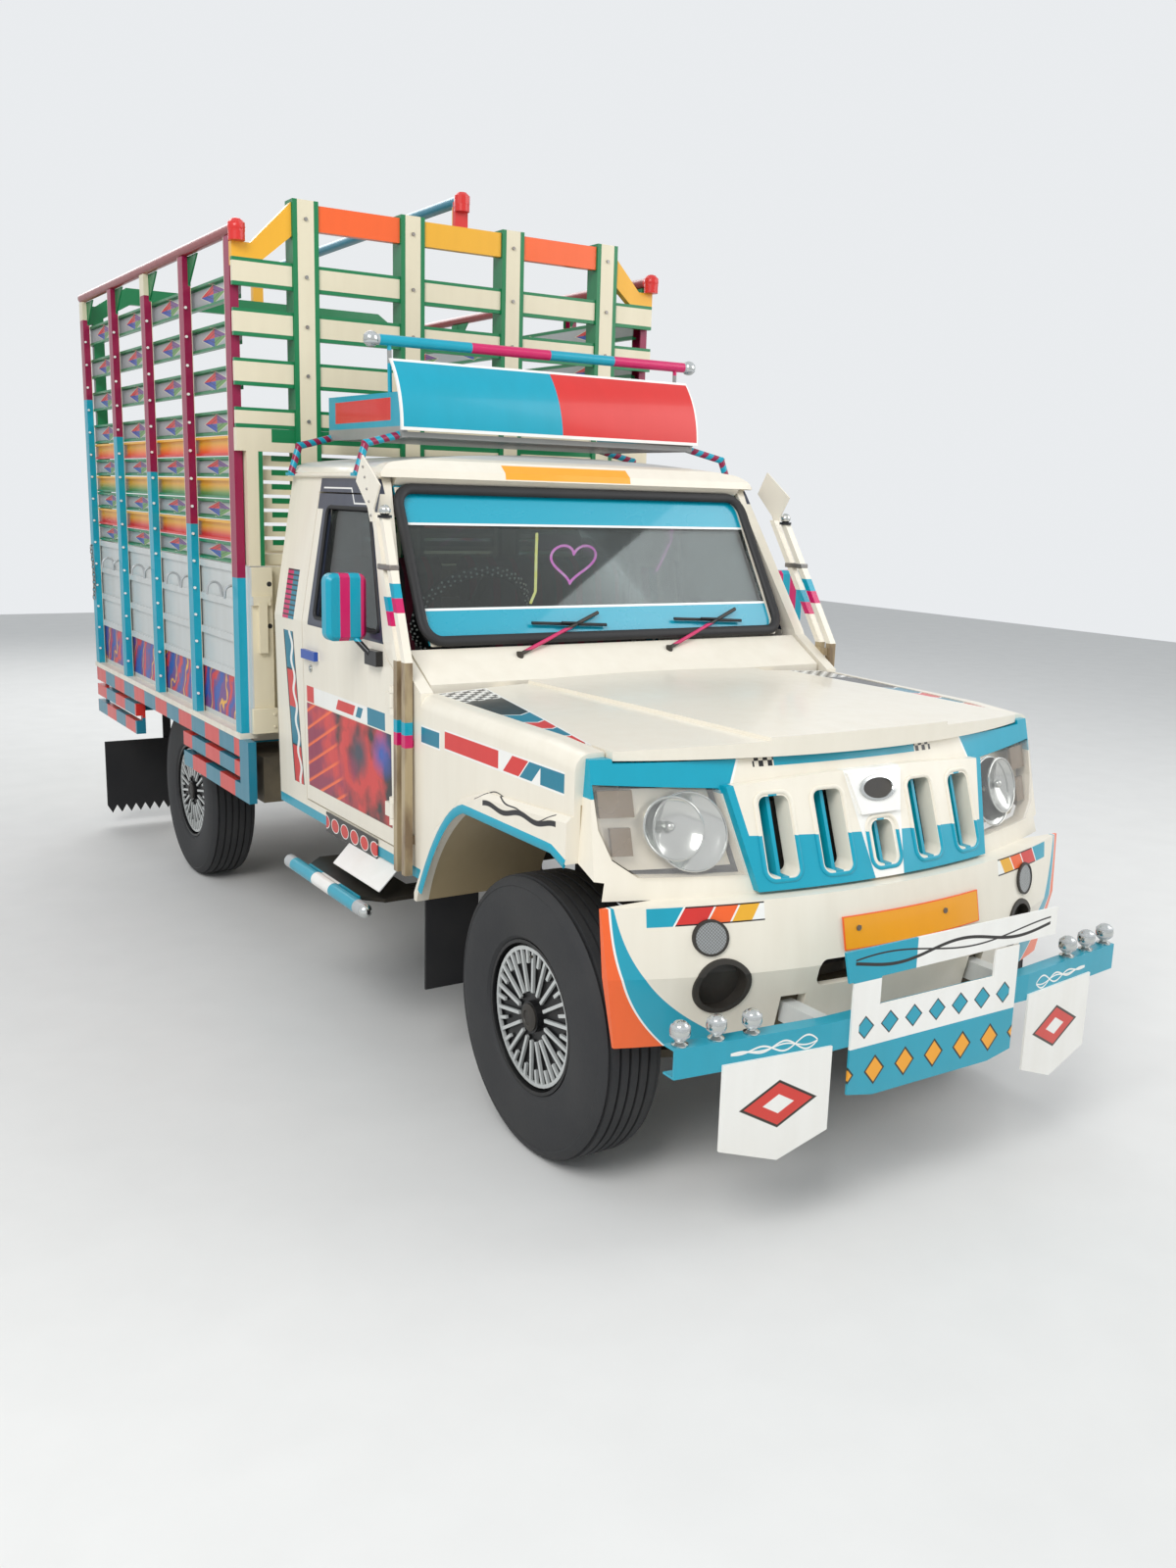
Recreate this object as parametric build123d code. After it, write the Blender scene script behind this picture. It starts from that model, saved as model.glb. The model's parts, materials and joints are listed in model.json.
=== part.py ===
from build123d import *
import math
import os

# Goods pickup truck with a single cab and a tall slatted cargo cage.
# Millimetres. +Z up, the front looks along -Y, the vehicle's left side is +X.
# The origin is on the ground, midway along and across the vehicle.

# Overall plan, along the length from the front axle
wheelbase = 3000
guard_front = 708
tail_rear = 4152
front_axle_y = -(tail_rear - guard_front) / 2
rear_axle_y = front_axle_y + wheelbase

# Wheels
tyre_radius = 375
tyre_width = 195
rim_radius = 205
rim_wall = 9
tyre_face = 757
tyre_seat_gap = 0.3
spoke_count = 36
ring_sides = 48
hub_gap = 0.5

# Chassis
rail_half = 350
rail_width = 60
rail_height = 110
rail_low_front = 430
rail_low_rear = 505
kingpin_x = 585
knuckle_half = 120
arm_thick = 22
axle_tube_radius = 42
differential_radius = 125

# Cab
floor_z = 600
floor_thick = 30
waist_z = 1270
eave_z = 1745
roof_crown = 88
sill_half = 775
waist_half = 785
roof_half = 708
cab_side_thick = 40
cab_front = 560
cab_rear = 1740
firewall = 600
cowl_top = 1250
screen_foot = 738
screen_head = 1008
screen_head_z = 1722
pillar_depth = 55
door_front = 735
door_rear = 1478
door_low = 655
door_head_z = 1695
door_gap = 5
window_frame = 9
cabin_half = min(sill_half, waist_half) - cab_side_thick
side_band = (roof_half - 60, max(sill_half, waist_half) + 20)

# Nose and bumper
nose_low = 788
nose_high = 1110
bumper_low = 440
bonnet_half_rear = 728
bonnet_half_front = 690
bonnet_skin = 14
bonnet_lip = 22

# Load bed and cage
bed_front = 1890
bed_rear = 4142
cage_half = 866
post_width = 62
post_depth = 30
post_top = 2534
bed_floor_z = 870
ledge_z = 823
ledge_thick = 22
bearer_low = 781
bed_side_top = 1425
slat_thick = 20
headboard_top = 2672
pipe_radius = 20
ridge_z = 2752

# Clearances
face_gap = 0.3
moving_gap = 5
pin_radius = 6
eye_radius = 11
pin_gap = 0.3

os.makedirs("parts", exist_ok=True)


def aft(distance):
    """Place along the length, measured rearwards from the front axle."""
    return front_axle_y + distance


def write(name, *pieces):
    """Write one named sub-part from one or more separate solids."""
    solids = [solid for piece in pieces for solid in piece.solids()]
    shape = solids[0] if len(solids) == 1 else Compound(solids)
    export_step(shape, f"parts/{name}.step")


def block(x, y, z):
    """Rectangular bar between pairs of limits."""
    (x0, x1), (y0, y1), (z0, z1) = sorted(x), sorted(y), sorted(z)
    return Pos((x0 + x1) / 2, (y0 + y1) / 2, (z0 + z1) / 2) * Box(x1 - x0, y1 - y0, z1 - z0)


def face_of(points):
    """Flat face inside a closed run of straight edges."""
    return make_face(Polyline(*points, close=True))


def side_cut(outline, x):
    """Solid from a side outline of (y, z) points, over the width x."""
    x0, x1 = sorted(x)
    plane = Plane(origin=(x0, 0, 0), x_dir=(0, 1, 0), z_dir=(1, 0, 0))
    return extrude(plane * face_of(outline), x1 - x0)


def front_cut(outline, y):
    """Solid from a front outline of (x, z) points, over the length y."""
    y0, y1 = sorted(y)
    plane = Plane(origin=(0, y1, 0), x_dir=(1, 0, 0), z_dir=(0, -1, 0))
    return extrude(plane * face_of(outline), y1 - y0)


def plan_cut(outline, z):
    """Solid from a plan outline of (x, y) points, over the height z."""
    z0, z1 = sorted(z)
    return extrude(Plane.XY.offset(z0) * face_of(outline), z1 - z0)


def bar_x(radius, x, y, z):
    """Round bar across the vehicle."""
    x0, x1 = sorted(x)
    return Pos((x0 + x1) / 2, y, z) * Rot(0, 90, 0) * Cylinder(radius, x1 - x0)


def bar_y(radius, x, y, z):
    """Round bar along the vehicle."""
    y0, y1 = sorted(y)
    return Pos(x, (y0 + y1) / 2, z) * Rot(90, 0, 0) * Cylinder(radius, y1 - y0)


def bar_z(radius, x, y, z):
    """Upright round bar."""
    z0, z1 = sorted(z)
    return Pos(x, y, (z0 + z1) / 2) * Cylinder(radius, z1 - z0)


def rod(radius, start, end):
    """Round bar between two points."""
    return extrude(Plane(origin=start, z_dir=Vector(end) - Vector(start)) * Circle(radius),
                   (Vector(end) - Vector(start)).length)


def disc(radius, height, sides=ring_sides):
    """Upright many-sided prism about its own middle, for wheels, drums and other turned pieces."""
    return extrude(RegularPolygon(radius, sides), height / 2, both=True)


def ball(radius, centre):
    """Ball end: a twelve-sided block with both rims cut back."""
    body = disc(radius, 1.8 * radius, 12)
    return Pos(centre) * chamfer(body.faces().filter_by(Axis.Z).edges(), 0.42 * radius)


def both(piece):
    """A piece and its mirror image on the other side."""
    return [piece, mirror(piece, about=Plane.YZ)]


def stations(outline):
    """Turn (distance behind the front axle, height) points into (y, z)."""
    return [(aft(distance), z) for distance, z in outline]


# Chassis frame
def chassis_frame():
    """Ladder frame: two stepped rails, cross tubes, cab mounts and bed runners."""
    outer, inner = rail_half, rail_half - rail_width
    step = rail_low_rear - rail_low_front
    low = rail_low_front
    frame_end = bed_rear - 45
    rail_outline = stations([
        (-515, low), (1560, low), (1900, low + step), (frame_end, low + step),
        (frame_end, low + step + rail_height), (1900, low + step + rail_height),
        (1560, low + rail_height), (-515, low + rail_height)])
    frame = side_cut(rail_outline, (inner, outer)) + side_cut(rail_outline, (-inner, -outer))
    cross_tubes = [(-420, 0), (560, 0), (1500, 0), (2350, step), (3550, step), (bed_rear - 80, step)]
    for distance, lift in cross_tubes:
        middle = low + lift + rail_height / 2
        frame += bar_x(34, (-inner - 1, inner + 1), aft(distance), middle)
    runner_low = low + step + rail_height
    for side in (-1, 1):
        for distance in (700, 1620):
            frame += block((side * inner, side * outer), (aft(distance), aft(distance + 70)),
                           (low + rail_height - 60, floor_z))
        frame += block((side * inner, side * outer), (aft(bed_front + 20), aft(frame_end)),
                       (runner_low, bearer_low))
    return frame


def engine_block():
    """Plain mass of the engine and gearbox on the front cross tubes, with the radiator ahead of it."""
    top = rail_low_front + rail_height / 2 + 34
    front = -360
    outline = [(front, top), (590, top), (590, 600), (570, 780), (420, 940), (-300, 940), (front, 860)]
    radiator = block((-285, 285), (aft(front - 12), aft(front + 1)), (top + 20, 985))
    return side_cut(stations(outline), (-235, 235)) + radiator


def axle_arms():
    """Upper and lower wishbones that carry the front knuckles, with their pivots."""
    pieces = []
    middle = tyre_radius
    for side in (-1, 1):
        for sign in (-1, 1):
            face = middle + sign * (knuckle_half + hub_gap)
            z = (face, face + sign * arm_thick)
            arm = plan_cut([(side * rail_half, aft(-130)), (side * (kingpin_x + 25), aft(-28)),
                            (side * (kingpin_x + 25), aft(28)), (side * rail_half, aft(130))], z)
            window = plan_cut([(side * (rail_half + 30), aft(-80)), (side * 500, aft(-18)),
                               (side * 500, aft(18)), (side * (rail_half + 30), aft(80))], z)
            pieces.append(arm - window)
    lower_z = middle - knuckle_half - hub_gap - arm_thick
    beam = block((-rail_half, rail_half), (aft(-130), aft(130)), (lower_z, lower_z + arm_thick))
    posts = beam
    for side in (-1, 1):
        posts += block((side * rail_half, side * (rail_half - 40)), (aft(-60), aft(60)),
                       (lower_z, rail_low_front))
        posts += pieces[1 if side < 0 else 3].solids()[0]
        posts += pieces[0 if side < 0 else 2].solids()[0]
    return posts


def knuckle(side):
    """Steered upright with its stub axle."""
    x_in, x_out = kingpin_x - 22, kingpin_x + 22
    upright = block((side * x_in, side * x_out), (aft(-30), aft(30)),
                    (tyre_radius - knuckle_half, tyre_radius + knuckle_half))
    stub = bar_x(30, (side * (x_out - 1), side * (wheel_disc_inner() - hub_gap)), aft(0), tyre_radius)
    return upright + stub


def wheel_disc_inner():
    """Distance from the centre line to the inner face of a wheel's disc."""
    return tyre_face - 62


def rear_axle():
    """Live rear axle: tube, differential housing and brake drums."""
    reach = wheel_disc_inner() - hub_gap
    axle = bar_x(axle_tube_radius, (-reach, reach), rear_axle_y, tyre_radius)
    axle += Pos(0, rear_axle_y, tyre_radius) * Rot(0, 90, 0) * ball(differential_radius, (0, 0, 0))
    drum_in, drum_out = 610, reach - 20
    for side in (-1, 1):
        axle += (Pos(side * (drum_in + drum_out) / 2, rear_axle_y, tyre_radius) * Rot(0, 90, 0)
                 * disc(140, drum_out - drum_in))
        axle += block((side * 395, side * 465), (rear_axle_y - 55, rear_axle_y + 55),
                      (tyre_radius, tyre_radius + axle_tube_radius + 6))
    return axle


def leaf_spring(side):
    """Curved leaf pack with its front and rear hangers."""
    x = (side * 400, side * 460)
    seat = tyre_radius + axle_tube_radius + 6
    half_span = 620
    leaf_rows = [(half_span, 0), (470, 10), (330, 20), (200, 30)]
    rise = 75
    spring = None
    for half, drop in leaf_rows:
        lift = rise * (half / half_span) ** 2
        top, low = seat + 40 - drop, seat + 30 - drop
        outline = (ThreePointArc((rear_axle_y - half, top + lift), (rear_axle_y, top),
                                 (rear_axle_y + half, top + lift))
                   + Line((rear_axle_y + half, top + lift), (rear_axle_y + half, low + lift))
                   + ThreePointArc((rear_axle_y + half, low + lift), (rear_axle_y, low),
                                   (rear_axle_y - half, low + lift))
                   + Line((rear_axle_y - half, low + lift), (rear_axle_y - half, top + lift)))
        plane = Plane(origin=(min(x), 0, 0), x_dir=(0, 1, 0), z_dir=(1, 0, 0))
        leaf = extrude(plane * make_face(outline), abs(x[1] - x[0]))
        spring = leaf if spring is None else spring + leaf
    spring += block(x, (rear_axle_y - 60, rear_axle_y + 60), (seat, seat + 12))
    end_z = seat + 40 + rise
    for end in (-1, 1):
        y = rear_axle_y + end * half_span
        spring += block((side * rail_half, side * 460), (y - 25, y + 25), (end_z - 12, end_z + 28))
    return spring


# Wheels
def turned(rows):
    """Many-sided turned form through (place along the axle, radius) rows."""
    return loft([Pos(0, 0, place) * RegularPolygon(radius, ring_sides) for place, radius in rows], ruled=True)


def tyre(side, y):
    """One tyre with a crowned tread, bulged sidewalls and beads that taper in to the rim."""
    half = tyre_width / 2
    bore = rim_radius + tyre_seat_gap
    # distance in from the side, radius
    crown_rows = [(0, bore + 90), (2, tyre_radius - 42), (14, tyre_radius - 12), (30, tyre_radius - 2)]
    bead_rows = [(-1, bore + 77), (6, bore + 28), (20, bore)]
    crown = [(-half + depth, radius) for depth, radius in crown_rows] + [(0, tyre_radius)]
    ring = turned(crown + [(-place, radius) for place, radius in reversed(crown[:-1])])
    for end in (-1, 1):
        bead = turned([(end * (half - depth), radius) for depth, radius in bead_rows])
        ring -= bead
    ring -= disc(bore, tyre_width)
    return Pos(side * (tyre_face - half), y, tyre_radius) * Rot(0, side * 90, 0) * ring


def wheel(side, y):
    """Rim barrel, disc and a many-spoked cover of long and short spokes in turn."""
    half = tyre_width / 2 - 16
    centre = tyre_face - tyre_width / 2
    disc_in = wheel_disc_inner() - centre
    barrel = disc(rim_radius, 2 * half) - disc(rim_radius - rim_wall, 2 * half)
    plate = Pos(0, 0, disc_in + 8) * disc(rim_radius - rim_wall + 1, 16)
    cover_z = disc_in + 16
    cover_radius = rim_radius - 18
    dish = Pos(0, 0, cover_z + 4) * disc(cover_radius, 8)
    hub = Pos(0, 0, cover_z + 17) * disc(42, 18, 24)
    rim = barrel + plate + dish + hub
    # outer end, inner end
    spoke_rows = [(cover_radius - 6, 66), (cover_radius - 6, 142)]
    turn = 360 / spoke_count
    spokes = []
    for number in range(spoke_count):
        outer, inner = spoke_rows[number % 2]
        bar = Box(outer - inner, 9, 14)
        spokes.append(Rot(0, 0, number * turn) * Pos((outer + inner) / 2, 0, cover_z + 14) * bar)
    ring = Pos(0, 0, cover_z + 14) * (disc(cover_radius, 14) - disc(cover_radius - 10, 14))
    rim = rim + ring + spokes
    return Pos(side * centre, y, tyre_radius) * Rot(0, side * 90, 0) * rim


# Cab shell
def side_section(inset=0):
    """Front view outline of one cab side, from sill to eave."""
    thick = cab_side_thick
    return [(sill_half - inset, floor_z), (waist_half - inset, waist_z), (roof_half - inset, eave_z),
            (roof_half - thick, eave_z), (waist_half - thick, waist_z), (sill_half - thick, floor_z)]


def side_x(z):
    """Half width of the cab's outer skin at a height."""
    if z < waist_z:
        return sill_half + (waist_half - sill_half) * (z - floor_z) / (waist_z - floor_z)
    return waist_half + (roof_half - waist_half) * (z - waist_z) / (eave_z - waist_z)


def skin_block(reach, y, z):
    """Block standing on the cab's outer skin and reaching out to a half width."""
    z0, z1 = z
    return front_cut([(side_x(z0), z0), (side_x(z1), z1), (reach, z1), (reach, z0)], y)


def pillar_line(offset):
    """Two (distance, z) points of a line set back from the windscreen's face."""
    run, rise = screen_head - screen_foot, screen_head_z - cowl_top
    length = math.hypot(run, rise)
    back, down = offset * rise / length, -offset * run / length
    return [(screen_foot + back, cowl_top + down), (screen_head + back, screen_head_z + down)]


def line_at(line, z):
    """Distance of a sloped line of two (distance, z) points at a height."""
    (foot, foot_z), (head, head_z) = line
    return foot + (head - foot) * (z - foot_z) / (head_z - foot_z)


def door_outline(gap):
    """Door opening in (distance, z), drawn in by the gap."""
    front = pillar_line(pillar_depth + gap)
    head_z = door_head_z - gap
    return [(door_front - door_gap + gap, door_low + gap), (door_front - door_gap + gap, front[0][1] - 30),
            front[0], (line_at(front, head_z), head_z), (door_rear - gap, head_z),
            (door_rear - gap, door_low + gap)]


def window_outline(inset=0):
    """Door window in (distance, z), with its sloped front edge."""
    low, high = waist_z + 20 + inset, door_head_z - 48 - inset
    front = pillar_line(pillar_depth + door_gap + window_frame + inset)
    return [(line_at(front, low), low), (line_at(front, high), high), (door_rear - 92 - inset, high),
            (door_rear - 102 - inset, low)]


def cab_side():
    """Left side frame: hinge pillar, screen pillar, sill, header and rear quarter in one panel."""
    panel = front_cut(side_section(), (aft(cab_front), aft(cab_rear)))
    front_line = pillar_line(-6)
    silhouette = stations([(cab_front, floor_z), (cab_rear, floor_z), (cab_rear, eave_z),
                           (front_line[1][0] + 14, eave_z), front_line[1], front_line[0],
                           (cab_front, 1150)])
    panel &= side_cut(silhouette, side_band)
    panel -= side_cut(stations(door_outline(0)), side_band)
    foot, head = pillar_line(-2), pillar_line(pillar_depth)
    pillar = side_cut(stations([foot[0], foot[1], head[1], head[0]]), (roof_half - 45, roof_half + 5))
    pillar &= front_cut(side_section(), (aft(screen_foot - 6), aft(screen_head + 60)))
    return panel + pillar


def hinge_lugs(x, y, z, towards):
    """Fixed half of a door hinge: a pin held by two lugs on the body."""
    lugs = bar_z(pin_radius, x, y, (z - 42, z + 42))
    for offset in (-32, 32):
        lugs += bar_z(eye_radius, x, y, (z + offset - 10, z + offset + 10))
        lugs += block((x - eye_radius, x + eye_radius - 6), (y, y + towards), (z + offset - 10, z + offset + 10))
        lugs += block((x - eye_radius - 40, x), (y + towards, y + towards + 12),
                      (z + offset - 10, z + offset + 10))
    return lugs


def hinge_eye(x, y, z, towards):
    """Moving half of a door hinge: an eye round the pin and its strap."""
    eye = bar_z(eye_radius, x, y, (z - 21, z + 21))
    eye += block((x - eye_radius, x + eye_radius - 6), (y, y + towards), (z - 21, z + 21))
    eye += block((x - eye_radius - 25, x - eye_radius + 8), (y + towards - 30, y + towards), (z - 21, z + 21))
    return eye - bar_z(pin_radius + pin_gap, x, y, (z - 22, z + 22))


hinge_x = waist_half + eye_radius + 2
hinge_y = aft(door_front - 20)
hinge_heights = (780, 1110)


def cab_sides():
    """Both cab side frames with the fixed hinge halves."""
    left = cab_side()
    for z in hinge_heights:
        left += hinge_lugs(hinge_x, hinge_y, z, -22)
    return both(left)


def cab_floor():
    """Floor pan, toe board and seat riser, with the firewall standing on its front edge."""
    half = cabin_half - 2
    pan = block((-half, half), (aft(firewall), aft(cab_rear - 30)), (floor_z, floor_z + floor_thick))
    wall = block((-half, half), (aft(firewall), aft(firewall + 25)), (floor_z, 1130))
    riser = block((-half + 40, half - 40), (aft(1130), aft(1660)), (floor_z + floor_thick - 1, 850))
    riser -= block((-half + 60, half - 60), (aft(1150), aft(1640)), (floor_z + floor_thick - 2, 830))
    return pan + wall + riser


def cowl_panel():
    """Scuttle between bonnet and windscreen, with its hinge lugs for the bonnet."""
    half = cabin_half - 2
    outline = stations([(firewall, 1130), (firewall, 1166), (screen_foot - 22, cowl_top - 14),
                        (screen_foot, cowl_top), (screen_foot + 40, cowl_top - 22), (screen_foot + 40, 1130)])
    return side_cut(outline, (-half, half))


def cab_rear_wall():
    """Rear wall of the cab with its window opening."""
    thick = cab_side_thick
    outline = [(sill_half - thick, floor_z), (waist_half - thick, waist_z), (roof_half - thick, eave_z)]
    wall = front_cut(outline + [(-x, z) for x, z in reversed(outline)], (aft(cab_rear - 30), aft(cab_rear)))
    hole = block((-470, 470), (aft(cab_rear - 40), aft(cab_rear + 10)), (1320, 1610))
    return wall - hole


def roof_body(inset):
    """Crowned roof form, drawn in by the inset on every side but its open underside."""
    crown = eave_z + roof_crown - inset
    half = roof_half + 6 - inset
    eave = eave_z + 12
    outline = (Line((-half, eave_z), (-half, eave))
               + ThreePointArc((-half, eave), (-half + 22, eave + 22), (-half + 62, eave + 36 - inset / 3))
               + ThreePointArc((-half + 62, eave + 36 - inset / 3), (0, crown), (half - 62, eave + 36 - inset / 3))
               + ThreePointArc((half - 62, eave + 36 - inset / 3), (half - 22, eave + 22), (half, eave))
               + Line((half, eave), (half, eave_z)) + Line((half, eave_z), (-half, eave_z)))
    front, rear = screen_head - 26 + inset, cab_rear + 22 - inset
    plane = Plane(origin=(0, aft(rear), 0), x_dir=(1, 0, 0), z_dir=(0, -1, 0))
    body = extrude(plane * make_face(outline), rear - front)
    top = eave_z + roof_crown + 4 - inset
    profile = stations([(front, eave_z), (front + 6, eave_z + 24), (front + 46, eave_z + 56),
                        (front + 130, top - 14), (front + 260, top), (rear - 200, top), (rear - 80, top - 18),
                        (rear - 12, eave_z + 30), (rear, eave_z)])
    return body & side_cut(profile, (-roof_half - 20, roof_half + 20))


def cab_roof():
    """Roof skin with its drip rail and the header above the windscreen."""
    skin = 22
    roof = roof_body(0) - (roof_body(skin) - block((-900, 900), (aft(900), aft(1900)),
                                                   (eave_z + roof_crown - skin + 1, 2000)))
    header = side_cut(stations([(screen_head - 24, eave_z - 1), (screen_head - 4, screen_head_z + 3),
                                (screen_head + 44, screen_head_z - 22), (screen_head + 60, eave_z + 6),
                                (screen_head - 8, eave_z + 6)]), (-roof_half + 46, roof_half - 46))
    roof += header
    return roof


def cab_glass():
    """Windscreen and rear window as two panes."""
    foot, head = pillar_line(4), pillar_line(12)
    low = (foot[0][0] + 8, foot[0][1] + 14)
    pane = side_cut(stations([low, foot[1], head[1], (head[0][0] + 8, head[0][1] + 14)]),
                    (-roof_half + 46, roof_half - 46))
    rear = block((-470 + face_gap, 470 - face_gap), (aft(cab_rear - 20), aft(cab_rear - 12)),
                 (1320 + face_gap, 1610 - face_gap))
    return [pane, rear]


def dashboard():
    """Dashboard moulding from wall to wall."""
    half = cabin_half - 3
    outline = stations([(firewall + 25, 980), (firewall + 25, 1130), (screen_foot + 40, 1130),
                        (screen_foot + 40, 1196), (930, 1176), (975, 1118), (955, 1000), (880, 960)])
    hood = stations([(800, 1180), (815, 1236), (900, 1226), (925, 1170)])
    return side_cut(outline, (-half, half)) + side_cut(hood, (-550, -220))


def steering_wheel():
    """Steering wheel, its spokes and column, on the right-hand side."""
    centre = Vector(-380, aft(1040), 1325)
    tilt = 50
    grip = 13
    ring = disc(185 + grip, 2 * grip) - disc(185 - grip, 2 * grip)
    ring = chamfer(ring.faces().filter_by(Axis.Z).edges(), 0.55 * grip)
    boss = Cylinder(45, 30)
    spokes = Box(360, 26, 12) + Pos(0, -90, 0) * Box(26, 180, 12)
    column = Pos(0, 0, -130) * Cylinder(22, 240)
    wheel = Pos(centre) * Rot(-tilt, 0, 0) * (ring + boss + spokes + column)
    return wheel - dashboard()


def seats():
    """Driver's seat and passenger bench: two cushions and two backs."""
    pieces = []
    wall = cabin_half - 85
    seat_rows = [(-wall, -180), (-120, wall)]
    for x in seat_rows:
        pieces.append(side_cut(stations([(1120, 850), (1600, 850), (1600, 930), (1560, 955), (1150, 985),
                                         (1120, 960)]), x))
        pieces.append(side_cut(stations([(1600, 850), (1656, 850), (1700, 1480), (1640, 1500),
                                         (1600, 1470), (1540, 990), (1560, 956), (1600, 931)]), x))
    return pieces


# Doors
def door(side):
    """One door: pressed skin, window opening, outside handle and hinge eyes."""
    panel = front_cut(side_section(), (aft(door_front), aft(door_rear)))
    panel &= side_cut(stations(door_outline(door_gap)), side_band)
    panel -= side_cut(stations(window_outline()), side_band)
    panel += block((waist_half - 4, waist_half + 16), (aft(door_rear - 150), aft(door_rear - 30)), (1150, 1180))
    for z in hinge_heights:
        panel += hinge_eye(hinge_x, hinge_y, z, 46)
    return panel if side > 0 else mirror(panel, about=Plane.YZ)


def door_glass(side):
    """Window pane of one door."""
    section = [(x - 16, z) for x, z in side_section()[:3]]
    pane = front_cut(section + [(x - 5, z) for x, z in reversed(section)], (aft(door_front), aft(door_rear)))
    pane &= side_cut(stations(window_outline(0.5)), side_band)
    return pane if side > 0 else mirror(pane, about=Plane.YZ)


def door_mirror(side):
    """Outside mirror on its arm, fixed to the door below the window's front corner."""
    x_in, x_out = waist_half + 10, waist_half + 137
    start, end, low, high = 900, 945, 1264, 1463
    head = block((x_in, x_out), (aft(start), aft(end)), (low, high))
    head = fillet(head.edges().filter_by(Axis.Y), 26)
    head = chamfer(head.faces().sort_by(Axis.Y)[0].edges(), 12)
    foot = skin_block(waist_half + 22, (aft(815), aft(900)), (1195, 1240))
    arm = rod(9, (waist_half + 12, aft(870), 1222), (x_in + 40, aft(start + 20), low + 15))
    piece = head + foot + arm
    return piece if side > 0 else mirror(piece, about=Plane.YZ)


# Nose, bonnet and fenders
# height, half width, distance of the front at the side, and at the middle
nose_rows = [(nose_low, 772, -345, -498), (nose_high, 754, -277, -382)]
nose_back = -262


def bow_solid(rows, back):
    """Solid with a bowed front, lofted through (height, half width, side, middle) rows."""
    sections = []
    for z, half, side, middle in rows:
        front = ThreePointArc((-half, aft(side), z), (0, aft(middle), z), (half, aft(side), z))
        rest = Polyline((half, aft(side), z), (half, aft(back), z), (-half, aft(back), z), (-half, aft(side), z))
        sections.append(make_face(front + rest))
    return loft(sections, ruled=True)


def nose_form(offset, trim=0):
    """Nose form grown by the offset at its front."""
    rows = [(z, half - trim, side - offset, middle - offset) for z, half, side, middle in nose_rows]
    return bow_solid(rows, -160)


lamp_outline = [(446, 1030), (750, 1050), (746, 950), (722, 882), (668, 842), (407, 834)]
grille_outline = [(392, 796), (440, 1040), (150, 1056), (-150, 1056), (-440, 1040), (-392, 796)]


def grown(outline, amount):
    """Outline scaled about its centre so that its sides move out by about the amount."""
    cx = (min(p[0] for p in outline) + max(p[0] for p in outline)) / 2
    cz = (min(p[1] for p in outline) + max(p[1] for p in outline)) / 2
    half_x = max(p[0] for p in outline) - cx
    half_z = max(p[1] for p in outline) - cz
    return [(cx + (x - cx) * (1 + amount / half_x), cz + (z - cz) * (1 + amount / half_z)) for x, z in outline]


front_band = (aft(-620), aft(-150))
nose_zone = (aft(-620), aft(nose_back))


def nose_panel():
    """Panel round lamps and grille, open behind both."""
    skin = 28
    panel = nose_form(0) - nose_form(-skin, skin)
    panel &= block((-800, 800), nose_zone, (nose_low, nose_high))
    panel -= bonnet_clearance()
    panel -= arch_solid(0, (690, 900)) + arch_solid(0, (-900, -690))
    for side in (-1, 1):
        outline = [(side * x, z) for x, z in grown(lamp_outline, 3)]
        panel -= front_cut(outline, front_band)
    panel -= front_cut(grown(grille_outline, -22), front_band)
    return panel


def grille():
    """Grille surround with five upright slots, each with a blade, and the centre piece."""
    body = nose_form(24) - nose_form(-30, -10)
    body &= front_cut(grille_outline, front_band)
    slot_table = [(-318, 84, 826, 1012), (-158, 84, 826, 1018), (0, 70, 826, 930), (158, 84, 826, 1018),
                  (318, 84, 826, 1012)]
    for x, width, low, high in slot_table:
        slot = block((x - width / 2, x + width / 2), front_band, (low, high))
        body -= fillet(slot.edges().filter_by(Axis.Y), 20)
    for x, width, low, high in slot_table:
        blade = block((x - 5, x + 5), front_band, (low - 4, high + 4))
        body += blade & (nose_form(2) - nose_form(-30, -10))
    badge = nose_form(34) & front_cut([(-66, 950), (-92, 1050), (92, 1050), (66, 950)], front_band)
    body += badge - nose_form(0, -10)
    hollow = nose_form(0, -10) - front_cut(grown(grille_outline, -26), front_band)
    return body - hollow - bonnet_clearance()


def headlamps():
    """Headlamp units, each filling its opening in the nose."""
    units = []
    for side in (-1, 1):
        outline = [(side * x, z) for x, z in lamp_outline]
        unit = (nose_form(9, -4) - nose_form(-45, 45)) & front_cut(outline, nose_zone)
        units.append(unit - bonnet_clearance())
    return units


plate_bolt_pitch = 300
plate_bolt_radius = 3.5
plate_bolt_z = 698
bumper_rows = [(bumper_low, 742, -400, -545), (620, 776, -415, -590), (nose_low, 790, -398, -552)]


fog_x = 515
fog_z = 590
fog_radius = 70


def bumper_form(grow):
    """Bumper's outer form grown by an amount at its front."""
    return bow_solid([(z, half, side - grow, middle - grow) for z, half, side, middle in bumper_rows], -330)


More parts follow.
